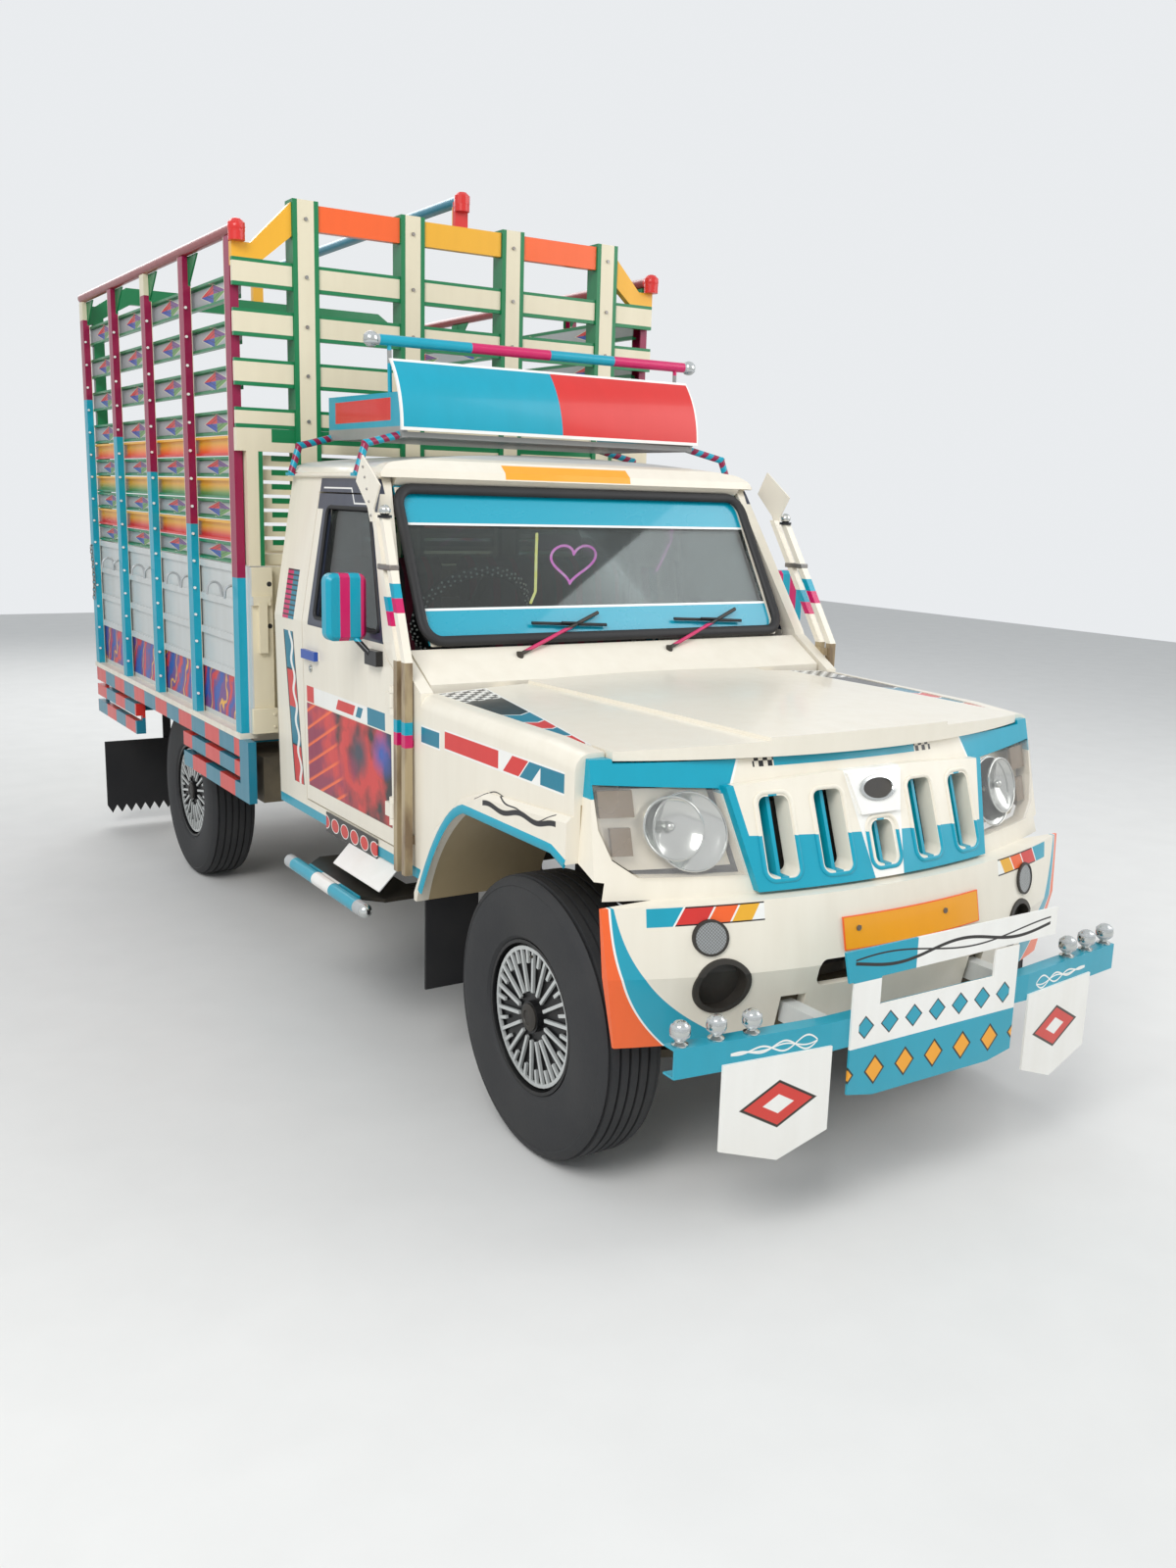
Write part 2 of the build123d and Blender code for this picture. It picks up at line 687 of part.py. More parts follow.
def bumper():
    """Bumper shell with openings for the fog lamps and the lower slot."""
    wall = 26
    inner_rows = [(bumper_low - 5, 742 - wall, -385, -545 + wall), (620, 776 - wall, -398, -590 + wall),
                  (nose_low - wall, 790 - wall, -385, -552 + wall)]
    shell = bow_solid(bumper_rows, -392) - bow_solid(inner_rows, -380)
    for side in (-1, 1):
        shell -= bar_y(fog_radius, side * fog_x, (aft(-700), aft(-380)), fog_z)
        shell -= block((side * 285, side * 355), (aft(-700), aft(-460)),
                       (bumper_low - 10, rail_low_front + rail_height + 6))
    slot = block((-265, 265), (aft(-700), aft(-380)), (562, 632))
    shell -= fillet(slot.edges().filter_by(Axis.Y), 24)
    for x in (-plate_bolt_pitch / 2, plate_bolt_pitch / 2):
        shell -= bar_y(plate_bolt_radius, x, (aft(-700), aft(-380)), plate_bolt_z)
    return shell


def bumper_lamps():
    """Fog lamp cups set in the bumper, each a ring flush with its face and a back."""
    pieces = []
    for side in (-1, 1):
        body = bar_y(fog_radius - face_gap, side * fog_x, (aft(-700), aft(-380)), fog_z)
        bore = bar_y(fog_radius - 13, side * fog_x, (aft(-700), aft(-380)), fog_z)
        pieces.append((body & (bumper_form(5) - bumper_form(-34))) - (bore & (bumper_form(20) - bumper_form(-26))))
    return pieces


def arch_face(grow):
    """Front wheel arch outline as a face in the side plane, grown by an amount."""
    points = [(548 + grow, 380), (548 + grow, 534), (404 + grow, 777 + grow / 2), (261 + grow / 2, 884 + grow),
              (-195, 884 + grow), (-345 - grow, 830 + grow / 2), (-412 - grow, 380)]
    spots = [(aft(distance), z) for distance, z in points]
    lines = (Line(spots[0], spots[1]) + ThreePointArc(spots[1], spots[2], spots[3]) + Line(spots[3], spots[4])
             + Line(spots[4], spots[5]) + Line(spots[5], spots[6]) + Line(spots[6], spots[0]))
    return make_face(lines)


def arch_solid(grow, x):
    """The arch outline over a width."""
    plane = Plane(origin=(x[0], 0, 0), x_dir=(0, 1, 0), z_dir=(1, 0, 0))
    return extrude(plane * arch_face(grow), x[1] - x[0])


# distance and height of the flare's upper edge, from the rear
flare_rows = [(cab_front, 600), (452, 786), (300, 902), (162, 948), (nose_back, 974)]


def fender():
    """Left front fender: side skin, rounded shoulder, flared arch lip and inner liner."""
    skin = 18
    low = 548
    outer = waist_half - 2
    rear_top, middle_top, front_top = 1148, 1134, 1122
    outline = stations([(nose_back, nose_low), (nose_back, front_top), (-100, middle_top),
                        (cab_front, rear_top), (cab_front, low), (470, low)])
    body = side_cut(outline, (bonnet_half_front - 30, outer))
    shoulder = body.edges().filter_by(lambda edge: edge.center().X > outer - 8 and edge.length > 150
                                      and edge.center().Z > front_top - 10)
    body = fillet(shoulder, 42)
    hollow = side_cut(stations([(nose_back + skin, nose_low - 5), (nose_back + skin, front_top - 40),
                                (-100, middle_top - 42), (cab_front - skin, rear_top - 58),
                                (cab_front - skin, low - 5), (470, low - 5)]),
                      (bonnet_half_front - 40, outer - skin))
    body -= hollow
    body -= bonnet_clearance()
    body -= arch_solid(0, (500, 900))
    flare = side_cut(stations(flare_rows + [(nose_back, nose_low), (300, nose_low), (300, low), (cab_front, low)]),
                     (outer - skin, outer + 20))
    crest = flare.edges().filter_by(lambda edge: edge.center().X > outer + 19 and edge.center().Z > 690
                                    and edge.center().Y > aft(nose_back) + 5)
    flare = chamfer(crest, 14) - arch_solid(0, (500, 900))
    liner = arch_solid(12, (400, outer - 8)) - arch_solid(0, (390, 900))
    trim = side_cut(stations([(nose_back, nose_low), (nose_back, 1000), (cab_front, 1000), (cab_front, low),
                              (300, low), (300, nose_low)]), (390, 900))
    return body + flare + (liner & trim)


# distance, half width, height of the top at the edge, and at the middle
bonnet_rows = [(570, bonnet_half_rear, 1146, 1168), (100, 714, 1137, 1158), (-430, bonnet_half_front, 1122, 1142)]


def bonnet_form(inset, drop, depth):
    """Bonnet form with its top lowered, its sides drawn in and its edges folded down by a depth."""
    sections = []
    for distance, half, edge, middle in bonnet_rows:
        y = aft(distance)
        w, top = half - inset, edge - drop
        arc = ThreePointArc((-w, y, top), (0, y, middle - drop), (w, y, top))
        rest = Polyline((w, y, top), (w, y, top - depth), (-w, y, top - depth), (-w, y, top))
        sections.append(make_face(arc + rest))
    return loft(sections, ruled=True)


def bonnet_clearance():
    """Space kept free round and above the shut bonnet."""
    return bonnet_form(-moving_gap, -60, bonnet_lip + 60 + moving_gap)


def bonnet():
    """Crowned bonnet skin with folded edges, a raised centre panel and its hinge eyes."""
    plan = (ThreePointArc((-760, aft(-262), 900), (0, aft(-412), 900), (760, aft(-262), 900))
            + Polyline((760, aft(-262), 900), (760, aft(600), 900), (-760, aft(600), 900), (-760, aft(-262), 900)))
    reach = extrude(make_face(plan), 400)
    inner_plan = (ThreePointArc((-760, aft(-246), 900), (0, aft(-396), 900), (760, aft(-246), 900))
                  + Polyline((760, aft(-246), 900), (760, aft(600), 900), (-760, aft(600), 900),
                             (-760, aft(-246), 900)))
    inner_reach = extrude(make_face(inner_plan), 400)
    skin = bonnet_form(0, 0, bonnet_lip) & reach
    skin -= bonnet_form(bonnet_skin, bonnet_skin, bonnet_lip) & inner_reach
    bulge = bonnet_form(-1, -9, 10) & reach & plan_cut([(-430, aft(568)), (-300, aft(-420)), (300, aft(-420)),
                                             (430, aft(568))], (1000, 1300))
    skin += bulge
    for side in (-1, 1):
        eye = bar_x(eye_radius, (side * 485, side * 515), bonnet_axis_y, bonnet_axis_z)
        eye += block((side * 485, side * 515), (aft(540), bonnet_axis_y), (bonnet_axis_z - 8, bonnet_axis_z + 9))
        skin += eye - bar_x(pin_radius + pin_gap, (side * 480, side * 520), bonnet_axis_y, bonnet_axis_z)
    return skin


bonnet_axis_y = aft(586)
bonnet_axis_z = 1138


def bonnet_lugs():
    """Pins and lugs on the cowl that carry the bonnet's eyes."""
    lugs = None
    for side in (-1, 1):
        pin = bar_x(pin_radius, (side * 470, side * 530), bonnet_axis_y, bonnet_axis_z)
        for x in ((side * 516, side * 532), (side * 468, side * 484)):
            pin += bar_x(eye_radius, x, bonnet_axis_y, bonnet_axis_z)
            pin += block(x, (bonnet_axis_y, aft(firewall + 4)), (bonnet_axis_z - 8, bonnet_axis_z + 8))
        lugs = pin if lugs is None else lugs + pin
    return lugs


def wipers():
    """Two wiper arms lying on the windscreen, on their spindles."""
    pieces = []
    for x in (-385, 175):
        base = (x, aft(screen_foot - 40), cowl_top - 20)
        tip_z = cowl_top + 92
        tip = (x + 330, aft(line_at(pillar_line(-9), tip_z)), tip_z)
        arm = rod(6, base, tip) + bar_z(11, base[0], base[1], (cowl_top - 60, cowl_top - 12))
        pieces.append(arm - cowl_panel())
    return pieces


# Guard bar
guard_low = 464
guard_high = 535
guard_bend = 340


def guard_reach(x):
    """Distance of the guard bar's face ahead of the front axle at a place across the vehicle."""
    end, sweep = 753, 50
    return guard_front - 6 - sweep * max(0, abs(x) - guard_bend) / (end - guard_bend)


def guard_bar():
    """Channel guard bar bent back at its ends, on two brackets, with round finials."""
    low, high = guard_low, guard_high
    depth = 40
    middle = guard_reach(0)
    plan = [(x, aft(-guard_reach(x))) for x in (-753, -guard_bend, guard_bend, 753)]
    back = [(x, y + depth) for x, y in reversed(plan)]
    bar = plan_cut(plan + back, (low, high))
    inner = [(x, y + 5) for x, y in plan]
    bar -= plan_cut(inner + [(x, y + depth + 1) for x, y in reversed(plan)], (low + 5, high - 5))
    for side in (-1, 1):
        bar += block((side * 300, side * 340), (aft(-middle + 4), aft(-515)), (low + 10, high - 10))
        for x in (728, 636, 544):
            y = aft(20 - guard_reach(x))
            bar += bar_z(9, side * x, y, (high - 3, high + 20))
            bar += ball(23, (side * x, y, high + 34))
    return bar


def guard_plates():
    """Plates hung on the guard bar: centre frame with its wing, lower board and two pennants."""
    thick = guard_front - guard_reach(0)
    middle = guard_reach(0)
    y_mid = (aft(-middle - thick), aft(-middle))
    half, inner = 284, 197
    join, ledge, wing_low, wing_high = guard_low - 2, 555, 625, 702
    centre = front_cut([(-half, join), (half, join), (half, wing_low + 1), (inner, wing_low + 1), (inner, ledge),
                        (-inner, ledge), (-inner, wing_low + 1), (-half, wing_low + 1)], y_mid)
    centre += front_cut([(-half, join), (half, join), (half, 345), (200, 328), (-200, 328), (-half, 345)], y_mid)
    centre += front_cut([(-300, wing_low), (-318, wing_high), (420, wing_high + 4), (420, wing_low + 8)], y_mid)
    pieces = [centre]
    start, tip, end = guard_bend, 476, 632
    near, far = aft(-guard_reach(start)), aft(-guard_reach(end))
    for side in (-1, 1):
        slab = plan_cut([(side * start, near - thick), (side * end, far - thick), (side * end, far),
                         (side * start, near)], (200, guard_high))
        pieces.append(slab & front_cut([(side * end, guard_low + 16), (side * start, guard_low + 16),
                                        (side * start, 272), (side * tip, 221), (side * end, 272)],
                                       (near - 20, far + 20)))
    return pieces


# Steps, pipes and the roof sign
def side_steps():
    """Step plate and its round tube on each side, on brackets from the frame."""
    z = 492
    step = plan_cut([(700, aft(720)), (822, aft(720)), (885, aft(790)), (885, aft(1180)), (822, aft(1250)),
                     (700, aft(1250))], (z + 6, z + 18))
    step += bar_y(22, 900, (aft(690), aft(1310)), z)
    for distance in (840, 1120):
        step += block((rail_half, 885), (aft(distance), aft(distance + 30)), (z - 12, z + 7))
    return both(step)


pipe_size = 24
pipe_pitch = 54
# inner face, distance of the front pipe, height: at the foot, at the bend and at the top
pipe_route = [(waist_half + 4, 600, floor_z + 10), (waist_half + 4, 600, 1232), (roof_half + 44, 838, 1640)]


def pillar_pipe(lead, top):
    """One square pipe along the route, set back by a lead and cut off at a height."""
    sections = []
    for x, distance, z in pipe_route:
        y = aft(distance + lead)
        plan = face_of([(x, y), (x + pipe_size, y), (x + pipe_size, y + pipe_size), (x, y + pipe_size)])
        sections.append(Plane.XY.offset(z) * plan)
    pipe = loft(sections, ruled=True)
    return pipe - block((x - 50, x + 100), (y - 50, y + 100), (top, z + 10))


def pillar_pipes():
    """A pair of square pipes up each windscreen pillar, the front one under a ball, the rear one a spear."""
    x, distance, top = pipe_route[2]
    front_top = top - 12
    pair = pillar_pipe(0, front_top) + pillar_pipe(pipe_pitch, top)
    lower_x, lower_start = pipe_route[0][0], pipe_route[0][1]
    for z in (700, 980, 1190):
        pair += skin_block(lower_x + 4, (aft(lower_start + 10), aft(lower_start + pipe_pitch + 14)), (z, z + 26))
    middle = (x + pipe_size / 2, aft(distance - 6 + pipe_size / 2))
    pair += bar_z(21, middle[0], middle[1], (front_top - 1, front_top + 7))
    pair += ball(16, (middle[0], middle[1], front_top + 20))
    spear_foot = distance + pipe_pitch
    spear = side_cut(stations([(spear_foot - 4, top - 26), (spear_foot + 22, top - 26), (spear_foot + 40, top + 14),
                               (spear_foot + 126, top + 90), (spear_foot + 80, top + 166),
                               (spear_foot - 48, top + 80), (spear_foot - 2, top + 10)]),
                     (x + pipe_size - 1, x + pipe_size + 4))
    return both(pair + spear)


# distance and height of the sign board's face at its foot, middle and top
sign_arc = [(1128, 1892), (1150, 2010), (1216, 2112)]
sign_thick = 12


def sign_rack():
    """Open rack on the roof: floor rods, side boxes, curved legs and the cross bar."""
    rack_z = 1880
    half = 568
    front, rear = 1150, 1760
    rack = block((-half, -half + 20), (aft(front), aft(rear)), (rack_z - 10, rack_z + 10))
    rack += block((half - 20, half), (aft(front), aft(rear)), (rack_z - 10, rack_z + 10))
    for distance in range(front, rear + 1, 61):
        rack += block((-half + 1, half - 1), (aft(distance), aft(distance + 18)), (rack_z - 8, rack_z + 8))
    for side in (-1, 1):
        x = (side * (half - 2), side * (half - 14))
        rack += side_cut(stations([(front + 10, rack_z), (sign_arc[0][0] + sign_thick + face_gap, sign_arc[0][1]),
                                   (sign_arc[1][0] + sign_thick + face_gap, sign_arc[1][1]),
                                   (rear, 2015), (rear, rack_z)]), x)
        for distance in (front + 20, rear - 20):
            leg_top = (side * (half - 8), aft(distance), rack_z)
            knee = (side * (half + 128), aft(distance - 30), rack_z - 34)
            rack += rod(12, leg_top, knee) + ball(13, knee)
            foot_y = aft(distance - 40)
            foot_x = roof_half + 6
            rack += rod(12, knee, (side * (foot_x + 16), foot_y, eave_z + 8))
            rack += block((side * foot_x, side * (foot_x + 30)), (foot_y - 16, foot_y + 16),
                          (eave_z + 1, eave_z + 11))
        rack += rod(7, (side * (half - 8), aft(1256), 1990), (side * (half - 8), aft(1263), 2165))
    rack += bar_x(17, (-616, 616), aft(1263), 2170)
    for side in (-1, 1):
        rack += ball(24, (side * 622, aft(1263), 2170))
    return rack


def sign_board():
    """Curved board across the front of the rack."""
    face = [(aft(distance), z) for distance, z in sign_arc]
    back = [(y + sign_thick, z) for y, z in reversed(face)]
    outline = ThreePointArc(*face) + Line(face[2], back[0]) + ThreePointArc(*back) + Line(back[2], face[0])
    plane = Plane(origin=(-578, 0, 0), x_dir=(0, 1, 0), z_dir=(1, 0, 0))
    return extrude(plane * make_face(outline), 1156)


# Load bed
bed_wall = 30
bed_half = cage_half - post_depth


def bed_floor():
    """Bed floor plate on cross bearers, with the ledge along each side."""
    top_bearer = bed_floor_z - 20
    floor = block((-bed_half + bed_wall, bed_half - bed_wall), (aft(bed_front + bed_wall), aft(bed_rear - 40)),
                  (top_bearer, bed_floor_z))
    for distance in range(bed_front + 60, bed_rear - 60, 345):
        floor += block((-bed_half + bed_wall, bed_half - bed_wall), (aft(distance), aft(distance + 60)),
                       (bearer_low, top_bearer + 1))
    for side in (-1, 1):
        floor += block((side * (bed_half - bed_wall), side * (cage_half + 6)), (aft(bed_front), aft(bed_rear)),
                       (ledge_z - ledge_thick, ledge_z))
        floor += block((side * (bed_half - bed_wall - 40), side * (bed_half - bed_wall)),
                       (aft(bed_front + bed_wall), aft(bed_rear - 40)), (ledge_z - ledge_thick, top_bearer + 1))
    return floor


def bed_sides():
    """Pressed sheet side walls with three ribs and a rolled top rim."""
    wall = block((bed_half - bed_wall, bed_half - 8), (aft(bed_front + bed_wall), aft(bed_rear - 8)),
                 (ledge_z, bed_side_top))
    for z in (1010, 1140, 1270):
        wall += block((bed_half - 9, bed_half), (aft(bed_front + bed_wall), aft(bed_rear - 8)), (z, z + 26))
    wall += block((bed_half - bed_wall, bed_half), (aft(bed_front + bed_wall), aft(bed_rear - 8)),
                  (bed_side_top - 26, bed_side_top))
    return both(wall)


def bed_front_wall():
    """Steel front wall of the bed with its corner posts and latch levers."""
    half = bed_half
    wall = block((-half, half), (aft(bed_front), aft(bed_front + bed_wall - face_gap)), (ledge_z, bed_side_top))
    for x in (-520, -260, 0, 260, 520):
        wall += block((x - 30, x + 30), (aft(bed_front - 12), aft(bed_front + 1)), (ledge_z + 20, bed_side_top - 20))
    for side in (-1, 1):
        wall += block((side * (half - 86), side * (half - 4)), (aft(bed_front - 34), aft(bed_front + 1)),
                      (ledge_z, bed_side_top))
        wall += block((side * (half - 60), side * (half - 30)), (aft(bed_front - 52), aft(bed_front - 33)),
                      (1120, 1300))
        wall += block((side * (half - 74), side * (half - 6)), (aft(bed_front - 48), aft(bed_front - 33)),
                      (1290, 1322))
    return wall


post_pitch = (bed_rear - bed_front - post_width) / 4


def cage_posts():
    """Five upright channels down each side of the cage, with gussets under the side pipe."""
    pieces = []
    for number in range(5):
        start = bed_front + number * post_pitch
        y = (aft(start), aft(start + post_width))
        post = block((bed_half, cage_half), y, (ledge_z, post_top))
        post -= block((bed_half - 1, cage_half - 5), (y[0] + 5, y[1] - 5), (ledge_z + 30, post_top - 30))
        if number > 0:
            post += side_cut([(y[0] + 1, post_top), (y[0] + 1, post_top - 100), (y[0] - 110, post_top)],
                             (bed_half + 2, bed_half + 8))
        pieces += both(post)
    return pieces


# low edge, high edge of each side slat, from the top down
side_slat_rows = [(2338, 2423), (2187, 2272), (2036, 2121), (1885, 1970), (1812, 1881), (1736, 1808),
                  (1660, 1732), (1584, 1656), (1506, 1580), (1429, 1502)]


def slat_solid(length_range, x_face, low, high):
    """Pressed slat along the vehicle: a flat web with a folded flange at each edge."""
    web = block((x_face - slat_thick, x_face - slat_thick + 5), length_range, (low, high))
    lips = block((x_face - slat_thick, x_face), length_range, (low, low + 9)) \
        + block((x_face - slat_thick, x_face), length_range, (high - 9, high))
    return web + lips


def cage_slats():
    """Slats down both sides of the cage: four open rows above six closed ones."""
    pieces = []
    length_range = (aft(bed_front + bed_wall + 1), aft(bed_rear - 2))
    for low, high in side_slat_rows:
        pieces += both(slat_solid(length_range, bed_half, low, high))
    return pieces


# low edge, high edge of each slat across the front of the cage
front_slat_rows = [(2372, 2462), (2209, 2299), (2046, 2136), (1905, 1973)]


def headboard():
    """Front of the cage: posts, sloped hexagonal top beam, slats and louvres, as one welded frame."""
    y_post = (aft(bed_front), aft(bed_front + 34))
    y_slat = (aft(bed_front + 8), aft(bed_front + 29))
    beam_low, beam_high = 2575, 2660
    corner_low, corner_high = 2436, post_top - 22
    shoulder = 655
    flat = cage_half - 66
    frame = front_cut([(-shoulder, beam_high), (shoulder, beam_high), (flat, corner_high),
                       (cage_half, corner_high), (cage_half, corner_low), (flat - 10, corner_low),
                       (shoulder - 30, beam_low), (-shoulder + 30, beam_low), (-flat + 10, corner_low),
                       (-cage_half, corner_low), (-cage_half, corner_high), (-flat, corner_high)],
                      (aft(bed_front - 30), aft(bed_front)))
    post_faces = [-606, -200, 215, 640]
    for x in post_faces:
        frame += block((x - 47, x + 47), (aft(bed_front - 38), y_post[1]), (bed_side_top + 4, headboard_top))
    for low, high in front_slat_rows:
        frame += block((-cage_half, cage_half), (aft(bed_front - 30), aft(bed_front - 12)), (low, high))
    for low, high in [(1826, 1904)]:
        frame += block((-cage_half, cage_half), (aft(bed_front - 30), aft(bed_front - 1)), (low, high))
    louvre_count = 8
    pitch = (1826 - bed_side_top - 8) / louvre_count
    for number in range(louvre_count):
        low = bed_side_top + 8 + number * pitch
        frame += block((-bed_half + 60, bed_half - 60), y_slat, (low, low + pitch - 12))
    for side in (-1, 1):
        frame += block((side * (bed_half - 62), side * (bed_half - 4)), (aft(bed_front - 30), y_slat[1]),
                       (bed_side_top + 4, 1830))
    return frame


def rear_header():
    """Rear top beam of the cage, the same shape as the front one, with its corner lugs."""
    y = (aft(bed_rear - 40), aft(bed_rear - 4))
    shoulder = 655
    beam = front_cut([(-shoulder, 2620), (shoulder, 2620), (bed_half - 4, 2500), (bed_half - 4, 2430),
                      (shoulder - 20, 2545), (-shoulder + 20, 2545), (-bed_half + 4, 2430),
                      (-bed_half + 4, 2500)], y)
    for side in (-1, 1):
        beam += block((side * (bed_half - slat_thick - 50), side * (bed_half - slat_thick - 1)), y,
                      (bed_side_top, 2520))
    return beam


def cage_pipes():
    """Side pipes on the posts and the raised ridge pipe, each ending in a turned-down elbow."""
    pieces = []
    x = cage_half - post_depth / 2
    z = post_top + pipe_radius
    pipe = bar_y(pipe_radius, x, (aft(bed_front - 40), aft(bed_rear)), z)
    pipe += ball(pipe_radius + 9, (x, aft(bed_front - 40), z))
    pipe += bar_z(pipe_radius + 8, x, aft(bed_front - 40), (z - 42, z))
    pieces += both(pipe)
    ridge = bar_y(pipe_radius, 0, (aft(bed_front - 30), aft(bed_rear - 20)), ridge_z)
    ridge += ball(pipe_radius + 9, (0, aft(bed_front - 30), ridge_z))
    ridge += bar_z(pipe_radius + 8, 0, aft(bed_front - 30), (ridge_z - 40, ridge_z))
    ridge += block((-26, 26), (aft(bed_front - 28), aft(bed_front - 2)), (2660, ridge_z - 6))
    ridge += block((-26, 26), (aft(bed_rear - 40), aft(bed_rear - 4)), (2620, ridge_z - 6))
    return pieces + [ridge]


def lower_rails():
    """Three guard rails under the ledge on each side, broken at the rear wheel."""
    x = (cage_half - 30, cage_half)
    front, rear = bed_front - 70, bed_rear
    gap = (2640, 3400)
    # low edge, high edge, whether the rail runs past the wheel
    rail_rows = [(732, 801, True), (656, 712, False), (572, 632, False)]
    rails = block(x, (aft(front), aft(front + 96)), (572, 801))
    for low, high, whole in rail_rows:
        spans = [(front + 90, rear)] if whole else [(front + 90, gap[0]), (gap[1], rear)]
        for start, end in spans:
            rails += block(x, (aft(start), aft(end)), (low, high))
    for start in (gap[0] - 30, gap[1], rear - 60):
        rails += block((x[0] - 12, x[0] + 1), (aft(start), aft(start + 30)), (572, 801))
    for start in (gap[0] - 160, gap[1] + 120):
        rails += block((rail_half, x[0] + 1), (aft(start), aft(start + 40)), (660, 700))
    return both(rails)


tailgate_axis_y = aft(bed_rear - 16)
tailgate_axis_z = ledge_z + eye_radius + 16


def tailgate():
    """Drop tailgate with pressed ribs and its hinge eyes."""
    half = bed_half - bed_wall - slat_thick - 32
    y = (tailgate_axis_y - 10, tailgate_axis_y + 12)
    low = tailgate_axis_z + eye_radius + 6
    gate = block((-half, half), y, (low, bed_side_top - 10))
    for z in (1010, 1140, 1270):
        gate += block((-half + 30, half - 30), (y[1] - 1, aft(tail_rear)), (z, z + 26))
    for x in (-560, 0, 560):
        eye = bar_x(eye_radius, (x - 30, x + 30), tailgate_axis_y, tailgate_axis_z)
        eye += block((x - 30, x + 30), (tailgate_axis_y - 8, tailgate_axis_y + 8), (tailgate_axis_z, low + 2))
        gate += eye - bar_x(pin_radius + pin_gap, (x - 31, x + 31), tailgate_axis_y, tailgate_axis_z)
    return gate


def tail_bar():
    """Rear cross beam with the tailgate's hinge pins."""
    beam = block((-bed_half + bed_wall, bed_half - bed_wall), (aft(bed_rear - 39), tailgate_axis_y - 18),
                 (rail_low_rear + rail_height + 20, ledge_z + 8))
    for x in (-560, 0, 560):
        beam += bar_x(pin_radius, (x - 50, x + 50), tailgate_axis_y, tailgate_axis_z)
        for edge in ((x - 50, x - 32), (x + 32, x + 50)):
            beam += bar_x(eye_radius, edge, tailgate_axis_y, tailgate_axis_z)
            beam += block(edge, (tailgate_axis_y - 19, tailgate_axis_y), (ledge_z - 20, tailgate_axis_z))
    return beam


def tail_lamps():
    """Rear lamp clusters under the ledge."""
    return both(block((540, 760), (tailgate_axis_y - 18, aft(bed_rear - 6)), (650, 750)))


def mudflaps():
    """Rubber flaps behind the front wheels and at the tail, the rear ones with toothed hems."""
    front = block((600, 772), (aft(545), aft(553)), (272, 547.7))
    low, high = 62, 430
    left, right, teeth = cage_half - 366, cage_half + 6, 8
    pitch = (right - left) / teeth
    hem = []
    for number in range(teeth):
        hem += [(right - number * pitch, low + 40), (right - (number + 0.5) * pitch, low)]
    rear = front_cut([(left, high), (right, high)] + hem + [(left, low + 40)], (aft(4022), aft(4030)))
    hanger = block((left + 40, left + 80), (aft(4030), aft(4036)), (high - 60, bearer_low))
    return both(front) + both(rear + hanger)


def underbody_boxes():
    """Battery box on the right, fuel tank on the left, each on a bracket from the frame."""
    battery = block((-800, -470), (aft(1850), aft(2150)), (565, 735))
    battery += block((-471, -rail_half), (aft(1950), aft(2020)), (rail_low_rear + 20, rail_low_rear + 80))
    tank = block((390, 790), (aft(1900), aft(2320)), (440, 730))
    tank = fillet(tank.edges().filter_by(Axis.Y), 50)
    tank += block((rail_half, 391), (aft(2050), aft(2120)), (rail_low_rear + 20, rail_low_rear + 80))
    return [battery, tank]


write("chassis_frame", chassis_frame())
write("engine_block", engine_block())
write("front_axle", axle_arms())
write("rear_axle", rear_axle())
write("leaf_springs", leaf_spring(1), leaf_spring(-1))
write("knuckle_left", knuckle(1))
write("knuckle_right", knuckle(-1))
for corner, side, y in [("front_left", 1, front_axle_y), ("front_right", -1, front_axle_y),
                        ("rear_left", 1, rear_axle_y), ("rear_right", -1, rear_axle_y)]:
    write(f"tyre_{corner}", tyre(side, y))
    write(f"wheel_{corner}", wheel(side, y))
write("cab_floor", cab_floor())
write("cab_shell", *cab_sides(), cowl_panel() + bonnet_lugs(), cab_rear_wall())
write("cab_roof", cab_roof())
write("cab_glass", *cab_glass())
write("dashboard", dashboard())
write("steering_wheel", steering_wheel())
write("seats", *seats())
for name, side in [("left", 1), ("right", -1)]:
    write(f"door_{name}", door(side))
    write(f"door_glass_{name}", door_glass(side))
    write(f"mirror_{name}", door_mirror(side))
write("nose_panel", nose_panel())
write("grille", grille())
write("headlamps", *headlamps())
write("bumper", bumper())
write("fog_lamp_rings", *bumper_lamps())
write("fenders", *both(fender()))
write("bonnet", bonnet())
write("wipers", *wipers())
write("guard_bar", guard_bar())
write("guard_plates", *guard_plates())
write("side_steps", *side_steps())
write("pillar_pipes", *pillar_pipes())
write("sign_rack", sign_rack())
write("sign_board", sign_board())
write("bed_floor", bed_floor(), tail_bar())
write("bed_walls", *bed_sides(), bed_front_wall())
write("cage_posts", *cage_posts())
write("cage_slats", *cage_slats())
write("cage_ends", headboard(), rear_header())
write("cage_pipes", *cage_pipes())
write("lower_rails", *lower_rails())
write("tailgate", tailgate())
write("tail_lamps", *tail_lamps())
write("mudflaps", *mudflaps())
write("underbody_boxes", *underbody_boxes())
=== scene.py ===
"""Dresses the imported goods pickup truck: paint, glass, rubber, lamps, trim, seats and stage."""

import json
import logging
import math
from collections.abc import Callable, Sequence
from dataclasses import dataclass
from enum import Enum
from typing import Self

import bmesh
import bpy
from mathutils import Matrix, Vector


